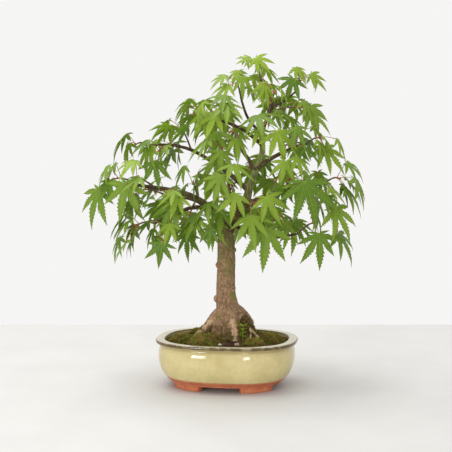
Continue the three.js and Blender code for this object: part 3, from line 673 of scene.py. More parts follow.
def bark_material():
    """Fine bark: pinkish tan low down, olive brown on the upper trunk, dark on the thin branches."""
    s = Shader("bark", roughness=0.85, Specular_IOR_Level=0.25)
    z = s.axis("Z")
    streaks = s.noise(520, 6, 0.65, stretch=(1, 1, 0.4), distortion=0.3)
    patches = s.noise(75, 4, 0.6, stretch=(1, 1, 0.6))
    low = s.mix(s.ramp(streaks, 0.3, 0.7), "62492f", "a58468")
    low = s.mix(s.ramp(patches, 0.45, 0.75, 0, 0.7), low, "9a785e")
    flecks = s.ramp(s.cells(360, stretch=(1, 1, 0.7)), 0.1, 0.24, 1, 0)
    low = s.mix(s.times(flecks, s.ramp(patches, 0.4, 0.6, 0.2, 0.8)), low, "d8c5ad")
    high = s.mix(s.ramp(streaks, 0.3, 0.7), "483f24", "7f7243")
    high = s.mix(s.ramp(patches, 0.42, 0.62, 0, 0.6), high, "666a34")
    fresh = s.mix(s.ramp(streaks, 0.3, 0.7), "5c6134", "959d60")
    high = s.mix(s.ramp(s.plus(z, s.ramp(patches, 0.2, 0.8, -0.03, 0.03)), 0.215, 0.285), high, fresh)
    climb = s.ramp(s.plus(z, s.ramp(patches, 0.2, 0.8, -0.05, 0.05)), 0.125, 0.205)
    bark = s.mix(climb, low, high)
    thin = s.attribute("thin")
    young = s.mix(s.ramp(streaks, 0.3, 0.7), "33261d", "5d4634")
    bark = s.mix(thin, bark, young)
    foot = s.times(s.ramp(z, 0.060, 0.094, 1, 0), s.ramp(s.noise(60, 4), 0.38, 0.56))
    bark = s.mix(s.times(foot, 0.6), bark, "4b3a20")
    mossy = s.times(s.ramp(s.noise(48, 3), 0.55, 0.66), s.ramp(z, 0.2, 0.14))
    bark = s.mix(s.times(mossy, 0.6), bark, "70702c")
    worn = s.plus(s.attribute("crest"), s.ramp(s.noise(170, 4), 0.3, 0.7, -0.35, 0.2))
    pale = s.times(s.ramp(worn, 0.05, 0.5), s.ramp(streaks, 0.3, 0.6, 0.4, 1))
    bark = s.mix(s.times(pale, 0.75), bark, "cdae8a")
    crack = s.ramp(s.cells(210, "DISTANCE_TO_EDGE", stretch=(1, 1, 0.35)), 0.0, 0.07, 1, 0)
    crack = s.times(crack, s.ramp(s.noise(90, 2), 0.45, 0.65))
    bark = s.mix(s.times(crack, 0.6), bark, "3a2a1c")
    s.color(bark)
    relief = s.math("SUBTRACT", streaks, s.times(crack, 0.5))
    s.bump(relief, 0.0006, 0.7)
    return s.material


def leaf_material(name, young):
    """Thin leaf: green by its own tone, paler along the veins, light shining through it."""
    s = Shader(name, roughness=0.42, Specular_IOR_Level=0.35)
    tone = s.attribute("tone")
    rib = s.attribute("rib")
    dark, light = ("84a52a", "bfd84a") if young else ("5f8422", "aac340")
    base = s.mix(tone, dark, light)
    mottle = s.noise(210, 4, 0.6)
    base = s.mix(s.ramp(mottle, 0.35, 0.75, 0, 0.4), base, "789a2c")
    base = s.mix(s.ramp(s.noise(900, 2), 0.5, 0.75, 0, 0.3), base, "4f6f1e")
    veins = s.ramp(rib, 0.15, 0.5, 1, 0)
    side_veins = s.ramp(s.attribute("vein"), 0.6, 1.0)
    base = s.mix(s.times(side_veins, 0.3), base, "a3b848")
    base = s.mix(s.times(veins, 0.4), base, "b0c25f")
    edge = s.ramp(s.attribute("rim"), 0.9, 1.0)
    base = s.mix(s.times(edge, 0.2), base, "9a7f3a")
    s.color(base)
    furrows = s.plus(veins, s.times(side_veins, 0.4))
    height = s.math("SUBTRACT", s.times(mottle, 0.5), furrows)
    normal = s.bump(height, 0.0002, 0.4)
    through = s.node("ShaderNodeBsdfTranslucent")
    glow = s.mix(0.55, base, "aecb22")
    s.link(glow, through.inputs["Color"])
    s.link(normal, through.inputs["Normal"])
    both = s.node("ShaderNodeMixShader")
    both.inputs[0].default_value = 0.45
    s.link(s.bsdf.outputs[0], both.inputs[1])
    s.link(through.outputs[0], both.inputs[2])
    s.link(both.outputs[0], s.tree.nodes["Material Output"].inputs["Surface"])
    return s.material


def stalk_material():
    """Twigs and leaf stalks: brown wood at the twig, thin red-green stalks, orange-red bud scales."""
    s = Shader("stalk", roughness=0.5, Specular_IOR_Level=0.35)
    kind = s.attribute("kind")
    fine = s.noise(700, 4, 0.6)
    wood = s.mix(s.ramp(fine, 0.3, 0.7), "3d2c20", "75604a")
    stalk = s.mix(s.ramp(s.noise(40, 2), 0.4, 0.6), "97a03c", "a5583a")
    bud = s.mix(s.ramp(fine, 0.35, 0.65), "a8452a", "cf7a4c")
    base = s.mix(s.ramp(kind, 0.3, 0.7), wood, stalk)
    base = s.mix(s.ramp(kind, 1.3, 1.7), base, bud)
    s.color(base)
    s.bump(fine, 0.0003, 0.5)
    return s.material


def soil_material():
    s = Shader("soil", roughness=0.95, Specular_IOR_Level=0.2)
    grain = s.noise(900, 5, 0.7)
    tone = s.cells(420, output="Color")
    dark = s.mix(s.ramp(grain, 0.3, 0.7), "1d150e", "55402c")
    dark = s.mix(0.25, dark, tone, "OVERLAY")
    dark = s.mix(s.ramp(s.noise(130, 3), 0.5, 0.7, 0, 0.6), dark, "6d5a3d")
    s.color(dark)
    s.bump(grain, 0.0008, 0.9)
    return s.material


def moss_material():
    """Short moss: green in patches, with brown and straw-coloured dry ones between them, and painted shade
    towards the tufts' feet.
    """
    s = Shader("moss", roughness=0.9, Specular_IOR_Level=0.15)
    patches = s.noise(110, 4, 0.6)
    fine = s.noise(1500, 3, 0.6)
    tip = s.attribute("tip")
    green = s.mix(s.ramp(s.noise(230, 3), 0.35, 0.65), "5d6420", "939b35")
    brown = s.mix(s.ramp(s.noise(300, 3), 0.35, 0.65), "54401f", "97793f")
    mixed = s.mix(s.ramp(patches, 0.44, 0.56), green, brown)
    mixed = s.mix(s.ramp(fine, 0.3, 0.75, 0, 0.4), mixed, "ab9455")
    # Painted shade: the moss is darkened where the tip value is low, on the cushion's body and at the tufts'
    # feet, between and under the tufts.
    dark = s.mix(0.5, mixed, "2c2212")
    s.color(s.mix(s.ramp(tip, 0.0, 0.8), dark, mixed))
    s.bump(fine, 0.0006, 0.8)
    return s.material


def stone_material(name, light, dark):
    s = Shader(name, roughness=0.75, Specular_IOR_Level=0.3)
    grain = s.noise(900, 5, 0.7)
    s.color(s.mix(s.ramp(grain, 0.35, 0.7), light, dark))
    s.bump(s.noise(500, 4), 0.0005, 0.7)
    return s.material


def screen_material():
    s = Shader("screen_plastic", roughness=0.55)
    scuff = s.noise(600, 4)
    s.color(s.mix(s.ramp(scuff, 0.4, 0.8), "17181a", "3a3833"))
    s.rough(s.ramp(scuff, 0.3, 0.7, 0.4, 0.7))
    s.bump(scuff, 0.0002, 0.5)
    return s.material


def wire_material():
    s = Shader("wire", roughness=0.4, Metallic=1.0)
    scuff = s.noise(900, 4, stretch=(1, 1, 0.3))
    s.color(s.mix(s.ramp(scuff, 0.35, 0.75), "b9bbbd", "83807c"))
    s.rough(s.ramp(scuff, 0.3, 0.7, 0.3, 0.55))
    s.bump(scuff, 0.0001, 0.5)
    return s.material


# ---- Mesh helpers ----
class Build:
    """Collects points and faces in the part's millimetres, with a few numbers at each point."""

    def __init__(self, place=to_frame):
        self.place = place
        self.points = []
        self.faces = []
        self.slots = []
        self.values = {}

    def point(self, p, **values):
        self.points.append(self.place(p))
        index = len(self.points) - 1
        for name, value in values.items():
            self.values.setdefault(name, {})[index] = value
        return index

    def face(self, corners, slot=0):
        self.faces.append(corners)
        self.slots.append(slot)

    def grid(self, rows, slot=0, closed=True):
        """Faces between rings of points; a ring goes round and closes on itself if closed."""
        for low, high in zip(rows, rows[1:]):
            count = len(low)
            for i in range(count if closed else count - 1):
                j = (i + 1) % count
                self.face((low[i], low[j], high[j], high[i]), slot)

    def finish(self, name, materials, smooth=True, merge=None):
        mesh = bpy.data.meshes.new(name)
        mesh.from_pydata(self.points, [], self.faces)
        for material in materials:
            mesh.materials.append(material)
        mesh.polygons.foreach_set("material_index", self.slots)
        for label, numbers in self.values.items():
            layer = mesh.attributes.new(label, "FLOAT", "POINT")
            spread = [numbers.get(i, 0.0) for i in range(len(self.points))]
            layer.data.foreach_set("value", spread)
        if merge:
            work = bmesh.new()
            work.from_mesh(mesh)
            bmesh.ops.remove_doubles(work, verts=work.verts, dist=merge)
            bmesh.ops.dissolve_degenerate(work, dist=merge / 10, edges=work.edges)
            work.to_mesh(mesh)
            work.free()
        mesh.validate()
        mesh.polygons.foreach_set("use_smooth", [smooth] * len(mesh.polygons))
        piece = bpy.data.objects.new(name, mesh)
        bpy.context.collection.objects.link(piece)
        return piece


def tube(build, route, radii, sides, slot=0, **values):
    """A round tube along points, with a value at each point where a list is given."""
    rings = []
    last = len(route) - 1
    tangent = unit(sub(route[1], route[0]))
    reference = (0.0, 1.0, 0.0) if abs(tangent[2]) > 0.7 else UP
    side = unit(cross(tangent, reference))
    for i, p in enumerate(route):
        tangent = unit(sub(route[min(i + 1, last)], route[max(i - 1, 0)]))
        side = unit(add(side, tangent, -dot(side, tangent)))
        normal = cross(side, tangent)
        here = {k: (v[i] if isinstance(v, (list, tuple)) else v) for k, v in values.items()}
        ring = []
        for k in range(sides):
            angle = 2 * math.pi * k / sides
            q = add(p, side, radii[i] * math.cos(angle))
            ring.append(build.point(add(q, normal, radii[i] * math.sin(angle)), **here))
        rings.append(ring)
    build.grid(rings, slot)
    build.face(tuple(reversed(rings[0])), slot)
    build.face(tuple(rings[-1]), slot)


def spline(points, steps):
    """A smooth curve through points of any number of values, with steps to each stretch."""
    result = []
    last = len(points) - 1
    for i in range(last):
        p0, p1, p2, p3 = (points[min(max(k, 0), last)] for k in (i - 1, i, i + 1, i + 2))
        for step in range(steps):
            t = step / steps
            result.append(tuple(
                0.5 * (2 * b + (c - a) * t + (2 * a - 5 * b + 4 * c - d) * t * t
                       + (3 * b - a - 3 * c + d) * t ** 3)
                for a, b, c, d in zip(p0, p1, p2, p3)
            ))
    result.append(tuple(points[last]))
    return result


def own(piece, slot, *nodes):
    """Puts a piece on the tree's one body, and hides the CAD nodes that it stands for."""
    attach(piece, "root")
    if nodes:
        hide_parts(*nodes)
    return piece


# ---- Pot ----
def oval_point(half_length, angle):
    def squarer(value):
        return math.copysign(abs(value) ** (2 / CORNER_FULLNESS), value)

    x = half_length * squarer(math.cos(angle))
    y = half_length * POT_WIDTH / POT_LENGTH * squarer(math.sin(angle))
    return x, y


RIM = POT_LENGTH / 2
OPENING = RIM - RIM_WIDTH
FLOOR_TOP = FOOT_HEIGHT + FLOOR_THICKNESS
POT_AROUND = 160
CORNER_STEPS = 3
FOOT_SPAN = 46
FOOT_MIDDLES = (49, 131, 229, 311)
FOOT_INNER = 57
FOOT_OUTER = 68.5
FOOT_TAPER = 0.6
FOOT_STEPS = 14
FOOT_BEVEL = 1.1


def rounded(profile):
    """A profile with each marked corner cut into a short curve; a row is radius, height, rounding."""
    result = []
    last = len(profile) - 1
    for i, (radius, height, rounding) in enumerate(profile):
        if rounding == 0 or i in (0, last):
            result.append((radius, height))
            continue
        corner = (radius, height, 0.0)
        ends = []
        for k in (i - 1, i + 1):
            other = (profile[k][0], profile[k][1], 0.0)
            away = sub(other, corner)
            reach = min(rounding, 0.45 * length_of(away))
            ends.append(add(corner, unit(away), reach))
        for step in range(CORNER_STEPS + 1):
            t = step / CORNER_STEPS
            a = lerp(ends[0], corner, t)
            b = lerp(corner, ends[1], t)
            result.append(lerp(a, b, t)[:2])
    return result


def lathe(build, profile):
    """Turns a profile round the pot's oval; a row is radius and height."""
    around = POT_AROUND
    rings = []
    for radius, height in profile:
        if radius == 0:
            rings.append([build.point((0, 0, height))] * around)
            continue
        ring = []
        for k in range(around):
            x, y = oval_point(radius, 2 * math.pi * k / around)
            ring.append(build.point((x, y, height)))
        rings.append(ring)
    for low, high in zip(rings, rings[1:]):
        for i in range(around):
            j = (i + 1) % around
            corners = list(dict.fromkeys((low[i], low[j], high[j], high[i])))
            build.face(tuple(corners))


def cut_by(piece, cutter, operation="DIFFERENCE"):
    modifier = piece.modifiers.new("cut", "BOOLEAN")
    modifier.operation = operation
    modifier.solver = "EXACT"
    modifier.object = cutter
    apply_modifiers(piece)
    bpy.data.objects.remove(cutter, do_unlink=True)


def apply_modifiers(piece):
    graph = bpy.context.evaluated_depsgraph_get()
    fresh = bpy.data.meshes.new_from_object(piece.evaluated_get(graph))
    old = piece.data
    piece.modifiers.clear()
    piece.data = fresh
    bpy.data.meshes.remove(old)


def make_pot(material):
    profile = rounded([
        (0, FOOT_HEIGHT, 0), (70, FOOT_HEIGHT, 1), (71, FOOT_HEIGHT + 0.8, 0.3), (71, 9, 0.3),
        (73, 9.6, 0.8), (76.4, 12.2, 2), (80, 16.6, 2), (84, 24, 3), (86.3, 33, 4), (86.5, 42, 4),
        (85.4, 49, 2), (83.6, 52.6, 0.8), (84, 54.6, 0.8), (RIM - 1, 55.4, 1), (RIM, 57, 1),
        (RIM - 0.2, 59, 0.9), (RIM - 1.4, POT_HEIGHT, 0.6), (OPENING + 1, POT_HEIGHT, 0.8),
        (OPENING, POT_HEIGHT - 1, 0.6), (OPENING, 40, 6), (OPENING - 3, 26, 4), (OPENING - 9, 18, 4),
        (OPENING - 16, FLOOR_TOP, 3), (0, FLOOR_TOP, 0),
    ])
    build = Build()
    lathe(build, profile)
    pot = build.finish("pot_glazed", [material])
    feet = Build()
    for middle in FOOT_MIDDLES:
        foot_block(feet, math.radians(middle - FOOT_SPAN / 2), math.radians(middle + FOOT_SPAN / 2))
    foot_piece = feet.finish("feet", [material])
    bevel = foot_piece.modifiers.new("soft", "BEVEL")
    bevel.width = FOOT_BEVEL * MM
    bevel.segments = 3
    bevel.limit_method = "ANGLE"
    bevel.angle_limit = math.radians(50)
    apply_modifiers(foot_piece)
    cut_by(pot, foot_piece, "UNION")
    for side in (-1, 1):
        hole = Build()
        ends = [(side * DRAIN_OFFSET, 0, 0), (side * DRAIN_OFFSET, 0, 3 * FLOOR_TOP)]
        tube(hole, ends, [DRAIN_RADIUS] * 2, 48)
        cut_by(pot, hole.finish("hole", [material]))
    smooth_by_angle(pot, 35)
    return own(pot, "glazed_stoneware", "pot")


def foot_block(build, start, end):
    """A foot that follows the oval from one angle to another, and runs a little into the pot."""
    top = FOOT_HEIGHT + FOOT_TAPER
    corners = [(FOOT_INNER + FOOT_TAPER, 0), (FOOT_OUTER - FOOT_TAPER, 0)]
    corners += [(FOOT_OUTER, top), (FOOT_INNER, top)]
    rings = []
    for i in range(FOOT_STEPS + 1):
        angle = start + (end - start) * i / FOOT_STEPS
        ring = []
        for radius, height in corners:
            x, y = oval_point(radius, angle)
            ring.append(build.point((x, y, height)))
        rings.append(ring)
    build.grid(rings)
    build.face(tuple(reversed(rings[0])))
    build.face(tuple(rings[-1]))


def smooth_by_angle(piece, degrees):
    """Smooth shading, apart from edges sharper than an angle."""
    mesh = piece.data
    work = bmesh.new()
    work.from_mesh(mesh)
    bmesh.ops.recalc_face_normals(work, faces=work.faces)
    limit = math.radians(degrees)
    for edge in work.edges:
        edge.smooth = not (len(edge.link_faces) == 2 and edge.calc_face_angle(0) > limit)
    for face in work.faces:
        face.smooth = True
    work.to_mesh(mesh)
    work.free()


# ---- Soil, moss, stones and a seedling ----
MOSS_CUSHIONS = [
    ("left", -57, -4, 34, 44, 7),
    ("front_left", -30, -33, 36, 30, 12),
    ("right", 57, -6, 34, 46, 8),
    ("front_right", 33, -35, 24, 20, 7),
    ("back_left", -32, 36, 40, 26, 8),
    ("back_right", 24, 42, 44, 20, 8),
]
SEEDLING_PLACE = (20, -29)
SEEDLING_HEIGHT = 20
SEEDLING_STEP = 4.5
SEEDLING_LEAVES = 16
SEEDLING_RING = 4
MOSS_FOOT = 0.42
MOSS_CLIMB = 92
MOSS_TUFTS = 2.6
ROOT_TUFTS = 2.2
SOIL_GRAINS = 2600
SOIL_RINGS = 44


def mound_height(x, y):
    distance = math.hypot(x, y) / 40
    return SOIL_EDGE + SOIL_MOUND * math.exp(-distance * distance)


def on_soil(x, y):
    x, y = turned(x, y)
    return x, y, mound_height(x, y)


def oval_reach(x, y):
    """The half length of the pot's oval that passes through a place."""
    y = abs(y) * POT_LENGTH / POT_WIDTH
    return (abs(x) ** CORNER_FULLNESS + y ** CORNER_FULLNESS) ** (1 / CORNER_FULLNESS)


def rough_at(p, size, strength):
    """Smooth random height, in millimetres, that depends only on the place."""
    return strength * noise.noise(Vector(p) / size)


def crumb(build, middle, size, chance, slot=0):
    """An irregular grain: an eight-sided lump with its corners pushed about."""
    corners = []
    for axis in ((1, 0, 0), (0, 1, 0), (-1, 0, 0), (0, -1, 0), (0, 0, 1), (0, 0, -1)):
        reach = size * chance.uniform(0.6, 1.25)
        shifted = add(middle, axis, reach)
        nudge = (chance.uniform(-0.4, 0.4), chance.uniform(-0.4, 0.4), chance.uniform(-0.3, 0.3))
        corners.append(build.point(add(shifted, nudge, size)))
    for k in range(4):
        a = corners[k]
        b = corners[(k + 1) % 4]
        build.face((a, b, corners[4]), slot)
        build.face((b, a, corners[5]), slot)


def make_soil(material):
    """The soil's body, its uneven top and the loose grains on it."""
    wall = OPENING - GAP
    build = Build()
    profile = [(0, FLOOR_TOP + GAP), (OPENING - 16.4, FLOOR_TOP + GAP), (OPENING - 9.4, 18.4),
               (OPENING - 3.4, 26.3), (wall, 40), (wall, SOIL_EDGE - 0.5)]
    shares = [1 - i / SOIL_RINGS for i in range(SOIL_RINGS)] + [0.0]
    rings = []
    around = POT_AROUND
    for radius, height in profile:
        ring = [build.point((*oval_point(radius, 2 * math.pi * k / around), height)) for k in range(around)]
        rings.append(ring if radius else ring[:1] * around)
    for share in shares:
        ring = []
        for k in range(around):
            x, y = oval_point(wall * share, 2 * math.pi * k / around)
            z = mound_height(x, y)
            z += rough_at((x, y, 0), 9, 1.0) + rough_at((x, y, 5), 2.6, 0.7)
            ring.append(build.point((x, y, z)))
        rings.append(ring if share else ring[:1] * around)
    for low, high in zip(rings, rings[1:]):
        for i in range(around):
            j = (i + 1) % around
            build.face(tuple(dict.fromkeys((low[i], low[j], high[j], high[i]))))
    chance = random.Random(11)
    for _ in range(SOIL_GRAINS):
        share = math.sqrt(chance.random()) * 0.98
        x, y = oval_point((wall - 1.5) * share, chance.uniform(0, 2 * math.pi))
        size = chance.choice((0.5, 0.7, 0.9, 1.3))
        middle = (x, y, mound_height(x, y) + 0.3 * size)
        crumb(build, middle, size, chance)
    piece = build.finish("soil_surface", [material], smooth=False)
    return own(piece, "soil", "soil")


def make_moss(row, material, seed):
    """A cushion with an uneven back and small pointed tufts, some of them on the soil past its rim."""
    name, x, y, length, width, height = row
    middle_x, middle_y, ground = on_soil(x, y)
    build = Build()
    chance = random.Random(seed)

    def surface(u, v):
        """u goes round the cushion and v from its rim, 0, to its top, 1."""
        shrink = math.cos(v * math.pi / 2) ** 0.9
        edge = 1 + 0.3 * noise.noise(Vector((math.cos(u) * 1.4, math.sin(u) * 1.4, seed)))
        edge += 0.12 * noise.noise(Vector((math.cos(u) * 5, math.sin(u) * 5, seed)))
        local_x = length / 2 * shrink * edge * math.cos(u)
        local_y = width / 2 * shrink * edge * math.sin(u)
        px, py = turned(local_x, local_y)
        px += middle_x
        py += middle_y
        reach = oval_reach(px, py)
        if reach > OPENING - 1:
            px *= (OPENING - 1) / reach
            py *= (OPENING - 1) / reach
        rise = height * math.sin(v * math.pi / 2) ** 1.15
        lump = rough_at((px, py, seed), 7, 2.2) + rough_at((px, py, seed), 2.6, 0.9)
        floor = mound_height(px, py) if v > 0 else mound_height(px, py) - 2
        inside = min(1.0, (OPENING - 1 - min(reach, OPENING - 1)) / 6 + 0.25)
        base = lerp((0, 0, floor), (0, 0, ground), 0.3 * v)[2]
        return px, py, base + (rise + lump * min(1, v * 3)) * max(inside, 0.25)

    around = 56
    climb = 16
    rings = []
    for j in range(climb):
        v = j / climb
        # The cushion's body takes a low tip value, so the moss material paints it in shade.
        ring = [build.point(surface(2 * math.pi * k / around, v), tip=0.15) for k in range(around)]
        rings.append(ring)
    build.grid(rings)
    top = build.point(surface(0, 0.9999), tip=0.15)
    for k in range(around):
        build.face((rings[-1][k], rings[-1][(k + 1) % around], top))
    build.face(tuple(reversed(rings[0])))
    tufts = int(length * width * MOSS_TUFTS)
    for _ in range(tufts):
        u = chance.uniform(0, 2 * math.pi)
        v = 1 - math.sqrt(chance.random()) * 0.97
        p = surface(u, v)
        out = unit((p[0] - middle_x, p[1] - middle_y, height * (0.7 + v)))
        if oval_reach(p[0], p[1]) < OPENING - 2:
            tuft(build, p, out, chance.uniform(0.8, 1.9), chance)
    for _ in range(tufts // 2):
        u = chance.uniform(0, 2 * math.pi)
        reach = 0.9 + 0.75 * chance.random() ** 2
        px, py = turned(length / 2 * reach * math.cos(u), width / 2 * reach * math.sin(u))
        px += middle_x
        py += middle_y
        if oval_reach(px, py) < OPENING - 2 and noise.noise(Vector((px, py, seed)) / 6) > -0.15:
            place = (px, py, mound_height(px, py) + 0.5)
            tuft(build, place, UP, chance.uniform(0.8, 2.0), chance)
    piece = build.finish("moss_mat_" + name, [material], smooth=False)
    return own(piece, "moss", "moss_" + name)


def make_pebble(name, x, y, size, material, seed):
    px, py, height = on_soil(x, y)
    mesh = bpy.data.meshes.new("stone_" + name)
    work = bmesh.new()
    bmesh.ops.create_icosphere(work, subdivisions=4, radius=1)
    for vertex in work.verts:
        d = vertex.co.normalized()
        knock = 1 + 0.16 * noise.noise(d * 1.3 + Vector((seed, 0, 0))) + 0.04 * noise.noise(d * 6)
        radius = size / 2 * knock
        p = (px + d.x * radius, py + d.y * radius * 0.8, height + size * 0.2 + d.z * radius * 0.65)
        vertex.co = to_frame(p)
    work.to_mesh(mesh)
    work.free()
    mesh.materials.append(material)
    mesh.polygons.foreach_set("use_smooth", [True] * len(mesh.polygons))
    piece = bpy.data.objects.new("stone_" + name, mesh)
    bpy.context.collection.objects.link(piece)
    return own(piece, "stone", "pebble_" + name)


def make_seedling(material):
    """A bare stem with rings of narrow leaves, each ring turned past the one below it."""
    x, y, ground = on_soil(*SEEDLING_PLACE)
    height = SEEDLING_HEIGHT
    build = Build()
    stem = spline([(x, y, ground - 2), (x - 0.5, y + 0.2, ground + 6), (x, y, ground + height)], 5)
    tube(build, stem, [0.45] * len(stem), 8, 0, tone=0.6, rib=1.0)
    chance = random.Random(5)
    for index in range(SEEDLING_LEAVES):
        level = index // SEEDLING_RING
        foot = (x, y, ground + height - 0.8 - SEEDLING_STEP * level)
        heading = 0.6 + (level + 2 * (index % SEEDLING_RING)) * math.pi / 4 + chance.uniform(-0.3, 0.3)
        outward = (math.cos(heading), math.sin(heading), chance.uniform(0.1, 0.7))
        across = (-math.sin(heading), math.cos(heading), 0)
        long = chance.uniform(4.5, 7.2)
        for top in (0.12, -0.12):
            rows = []
            for i in range(9):
                f = i / 8
                half = 1.9 * math.sin(math.pi * min(1, 0.04 + f * 0.96) ** 0.8) + 0.05
                row = []
                for k in (-1, -0.5, 0, 0.5, 1):
                    p = add(foot, outward, 0.3 + long * f)
                    p = add(p, across, half * k)
                    lift = top * (1 - abs(k)) + 0.5 * abs(k) * math.sin(math.pi * f) - 0.9 * f * f
                    row.append(build.point(add(p, UP, lift), tone=0.9, rib=abs(half * k)))
                rows.append(row if top > 0 else row[::-1])
            build.grid(rows, 0, closed=False)
    piece = build.finish("seedling_sprout", [material], merge=0.00002)
    return own(piece, "seedling", "seedling")


# ---- Drainage screens and wires ----
SCREEN_SIZE = 30
SCREEN_PITCH = SCREEN_SIZE / 4.5
SCREEN_THICKNESS = 1.2
WIRE_RADIUS = 0.8


def make_wire(side, material):
    """A staple over the screen, down through the drain hole and bent out under the pot."""
    x = side * DRAIN_OFFSET + SCREEN_PITCH / 2
    half_span = SCREEN_PITCH / 2
    top = FLOOR_TOP + 2 * GAP + SCREEN_THICKNESS + WIRE_RADIUS
    bottom = FOOT_HEIGHT - GAP - WIRE_RADIUS - 0.6
    half = [(0, top), (half_span - 1.4, top), (half_span - 0.3, top - 0.3), (half_span, top - 1.4),
            (half_span, bottom + 1.8), (half_span + 0.4, bottom + 0.4), (half_span + 1.6, bottom),
            (DRAIN_RADIUS + 5, bottom)]
    outline = [(-y, z) for y, z in reversed(half[1:])] + half
    route = spline([(x, y, z) for y, z in outline], 4)
    build = Build()
    tube(build, route, [WIRE_RADIUS * 0.97] * len(route), 14)
    side_name = "left" if side < 0 else "right"
    piece = build.finish("wire_" + side_name, [material])
    return own(piece, "wire", "screen_wire_" + side_name)


# ---- Wood ----
# Lumps on the trunk, as x, y, z and radius, in the tree's own directions.
KNOTS = [
    (-10.5, -4, 153, 4.6),
    (-12, -4, 110, 5.2),
    (8, -7, 124, 3.6),
    (9, -3, 172, 3.2),
    (-8, 6, 178, 4.2),
    (6, 9, 140, 4.4),
    (20, -14, 88, 6),
    (-14, -14, 86, 6),
    (0, 12, 100, 6),
]
# Where the bark is worn pale, in the tree's own directions.
PALE_BUTTRESS = [(7, -22.5, 84), (8, -25, 79), (9, -27.5, 74), (9.5, -29, 68), (10, -31, 63)]
PALE_ROOTLETS = [(30, -20, 73), (34, -22, 69), (38, -24, 65), (43, -25, 60), (48, -26, 55),
                 (29, -23, 71), (29, -26, 66), (29, -29, 61)]
PALE_ROOT = [(-22, -17, 82), (-28, -19, 76), (-34, -20, 70), (-39, -21, 65), (-44, -22, 60)]
# Each row of pale places, with how far its pale bark reaches.
PALE_PLACES = [(PALE_BUTTRESS, 5.4), (PALE_ROOT, 6.2), (PALE_ROOTLETS, 4.5)]
WOOD_VOXEL = 0.85


def wood_routes():
    """The smooth routes of the trunk, roots and branches, as x, y, z and radius."""
    routes = [(spline(TRUNK_ROUTE, 6), 32)]
    routes += [(spline(root, 5), 16) for root in ROOTS]
    for name, points in LIMBS.items():
        if name != "trunk":
            routes.append((spline(points, 5), 14))
    return routes


def make_wood(material):
    routes = wood_routes()
    build = Build(tree_to_frame)
    for points, sides in routes:
        tube(build, [p[:3] for p in points], [p[3] for p in points], sides)
    for x, y, z, radius in KNOTS:
        ends = [(x, y, z + radius * t) for t in (-1, -0.8, -0.4, 0, 0.4, 0.8, 1)]
        tube(build, ends, [radius * r for r in (0.15, 0.6, 0.92, 1, 0.92, 0.6, 0.15)], 12)
    wood = build.finish("wood", [material])
    remesh = wood.modifiers.new("skin", "REMESH")
    remesh.mode = "VOXEL"
    remesh.voxel_size = WOOD_VOXEL * MM
    soften = wood.modifiers.new("soften", "SMOOTH")
    soften.factor = 0.5
    soften.iterations = 3
    apply_modifiers(wood)
    roughen_bark(wood, routes)
    wood.data.materials.clear()
    wood.data.materials.append(material)
    return own(wood, "bark", "trunk")


def pale_crest(p):
    """How much a place lies on the worn, pale ridges and rootlets at the trunk's foot."""
    most = 0.0
    for points, reach in PALE_PLACES:
        for q in points:
            x, y = turned(q[0], q[1])
            away = length_of(sub((p.x - SHIFT.x, p.y - SHIFT.y, p.z), (x, y, q[2])))
            most = max(most, 1.0 - away / reach)
    return most


def roughen_bark(wood, routes):
    """Pushes the bark in and out along its grain, more where the wood is thick."""
    leader = len(routes[0][0])
    samples = [(tree_to_frame(p), p[3]) for points, _ in routes for p in points]
    tree = KDTree(len(samples))
    for index, (place, _) in enumerate(samples):
        tree.insert(place, index)
    tree.balance()
    mesh = wood.data
    thin = []
    crest = []
    moved = []
    for vertex in mesh.vertices:
        _, index, _ = tree.find(vertex.co)
        girth = samples[index][1]
        p = vertex.co / MM
        grain = Vector((p.x, p.y, p.z * 0.4))
        push = 0.35 * noise.noise(grain / 1.7) + 0.35 * noise.noise(grain / 4.2 + Vector((7, 0, 0)))
        push += 1.0 * noise.noise(Vector((p.x, p.y, p.z * 0.6)) / 13)
        push += 2.2 * noise.noise(p / 17) * min(1.0, max(0.0, (115 - p.z) / 30))
        push += 0.25 * noise.noise(p / 0.9)
        strength = min(1.0, girth / 9) * 0.75 + 0.12
        moved.append(vertex.co + vertex.normal * push * strength * MM)
        thin.append(0.0 if index < leader else 1.0 - min(1.0, max(0.0, (girth - 2.6) / 3.2)))
        crest.append(pale_crest(p))
    for vertex, place in zip(mesh.vertices, moved):
        vertex.co = place
    for name, values in (("thin", thin), ("crest", crest)):
        mesh.attributes.new(name, "FLOAT", "POINT").data.foreach_set("value", values)
    mesh.polygons.foreach_set("use_smooth", [True] * len(mesh.polygons))


def tuft(build, place, out, height, chance):
    """A small three-sided spike of moss."""
    lean = (chance.uniform(-0.5, 0.5), chance.uniform(-0.5, 0.5), 0)
    # The tip value sets the moss's painted shade: low at a tuft's foot, full colour at its tip.
    tip = build.point(add(place, unit(add(out, lean)), height), tip=1.0)
    across = unit(cross(out, (0.3, 0.9, 0.31)))
    other = cross(out, across)
    foot = []
    start = chance.uniform(0, 2)
    for k in range(3):
        angle = start + 2 * math.pi * k / 3
        corner = add(place, across, MOSS_FOOT * math.cos(angle))
        corner = add(corner, other, MOSS_FOOT * math.sin(angle))
        foot.append(build.point(add(corner, out, -0.3), tip=0.2))
    for k in range(3):
        build.face((foot[k], foot[(k + 1) % 3], tip))
    build.face(tuple(reversed(foot)))


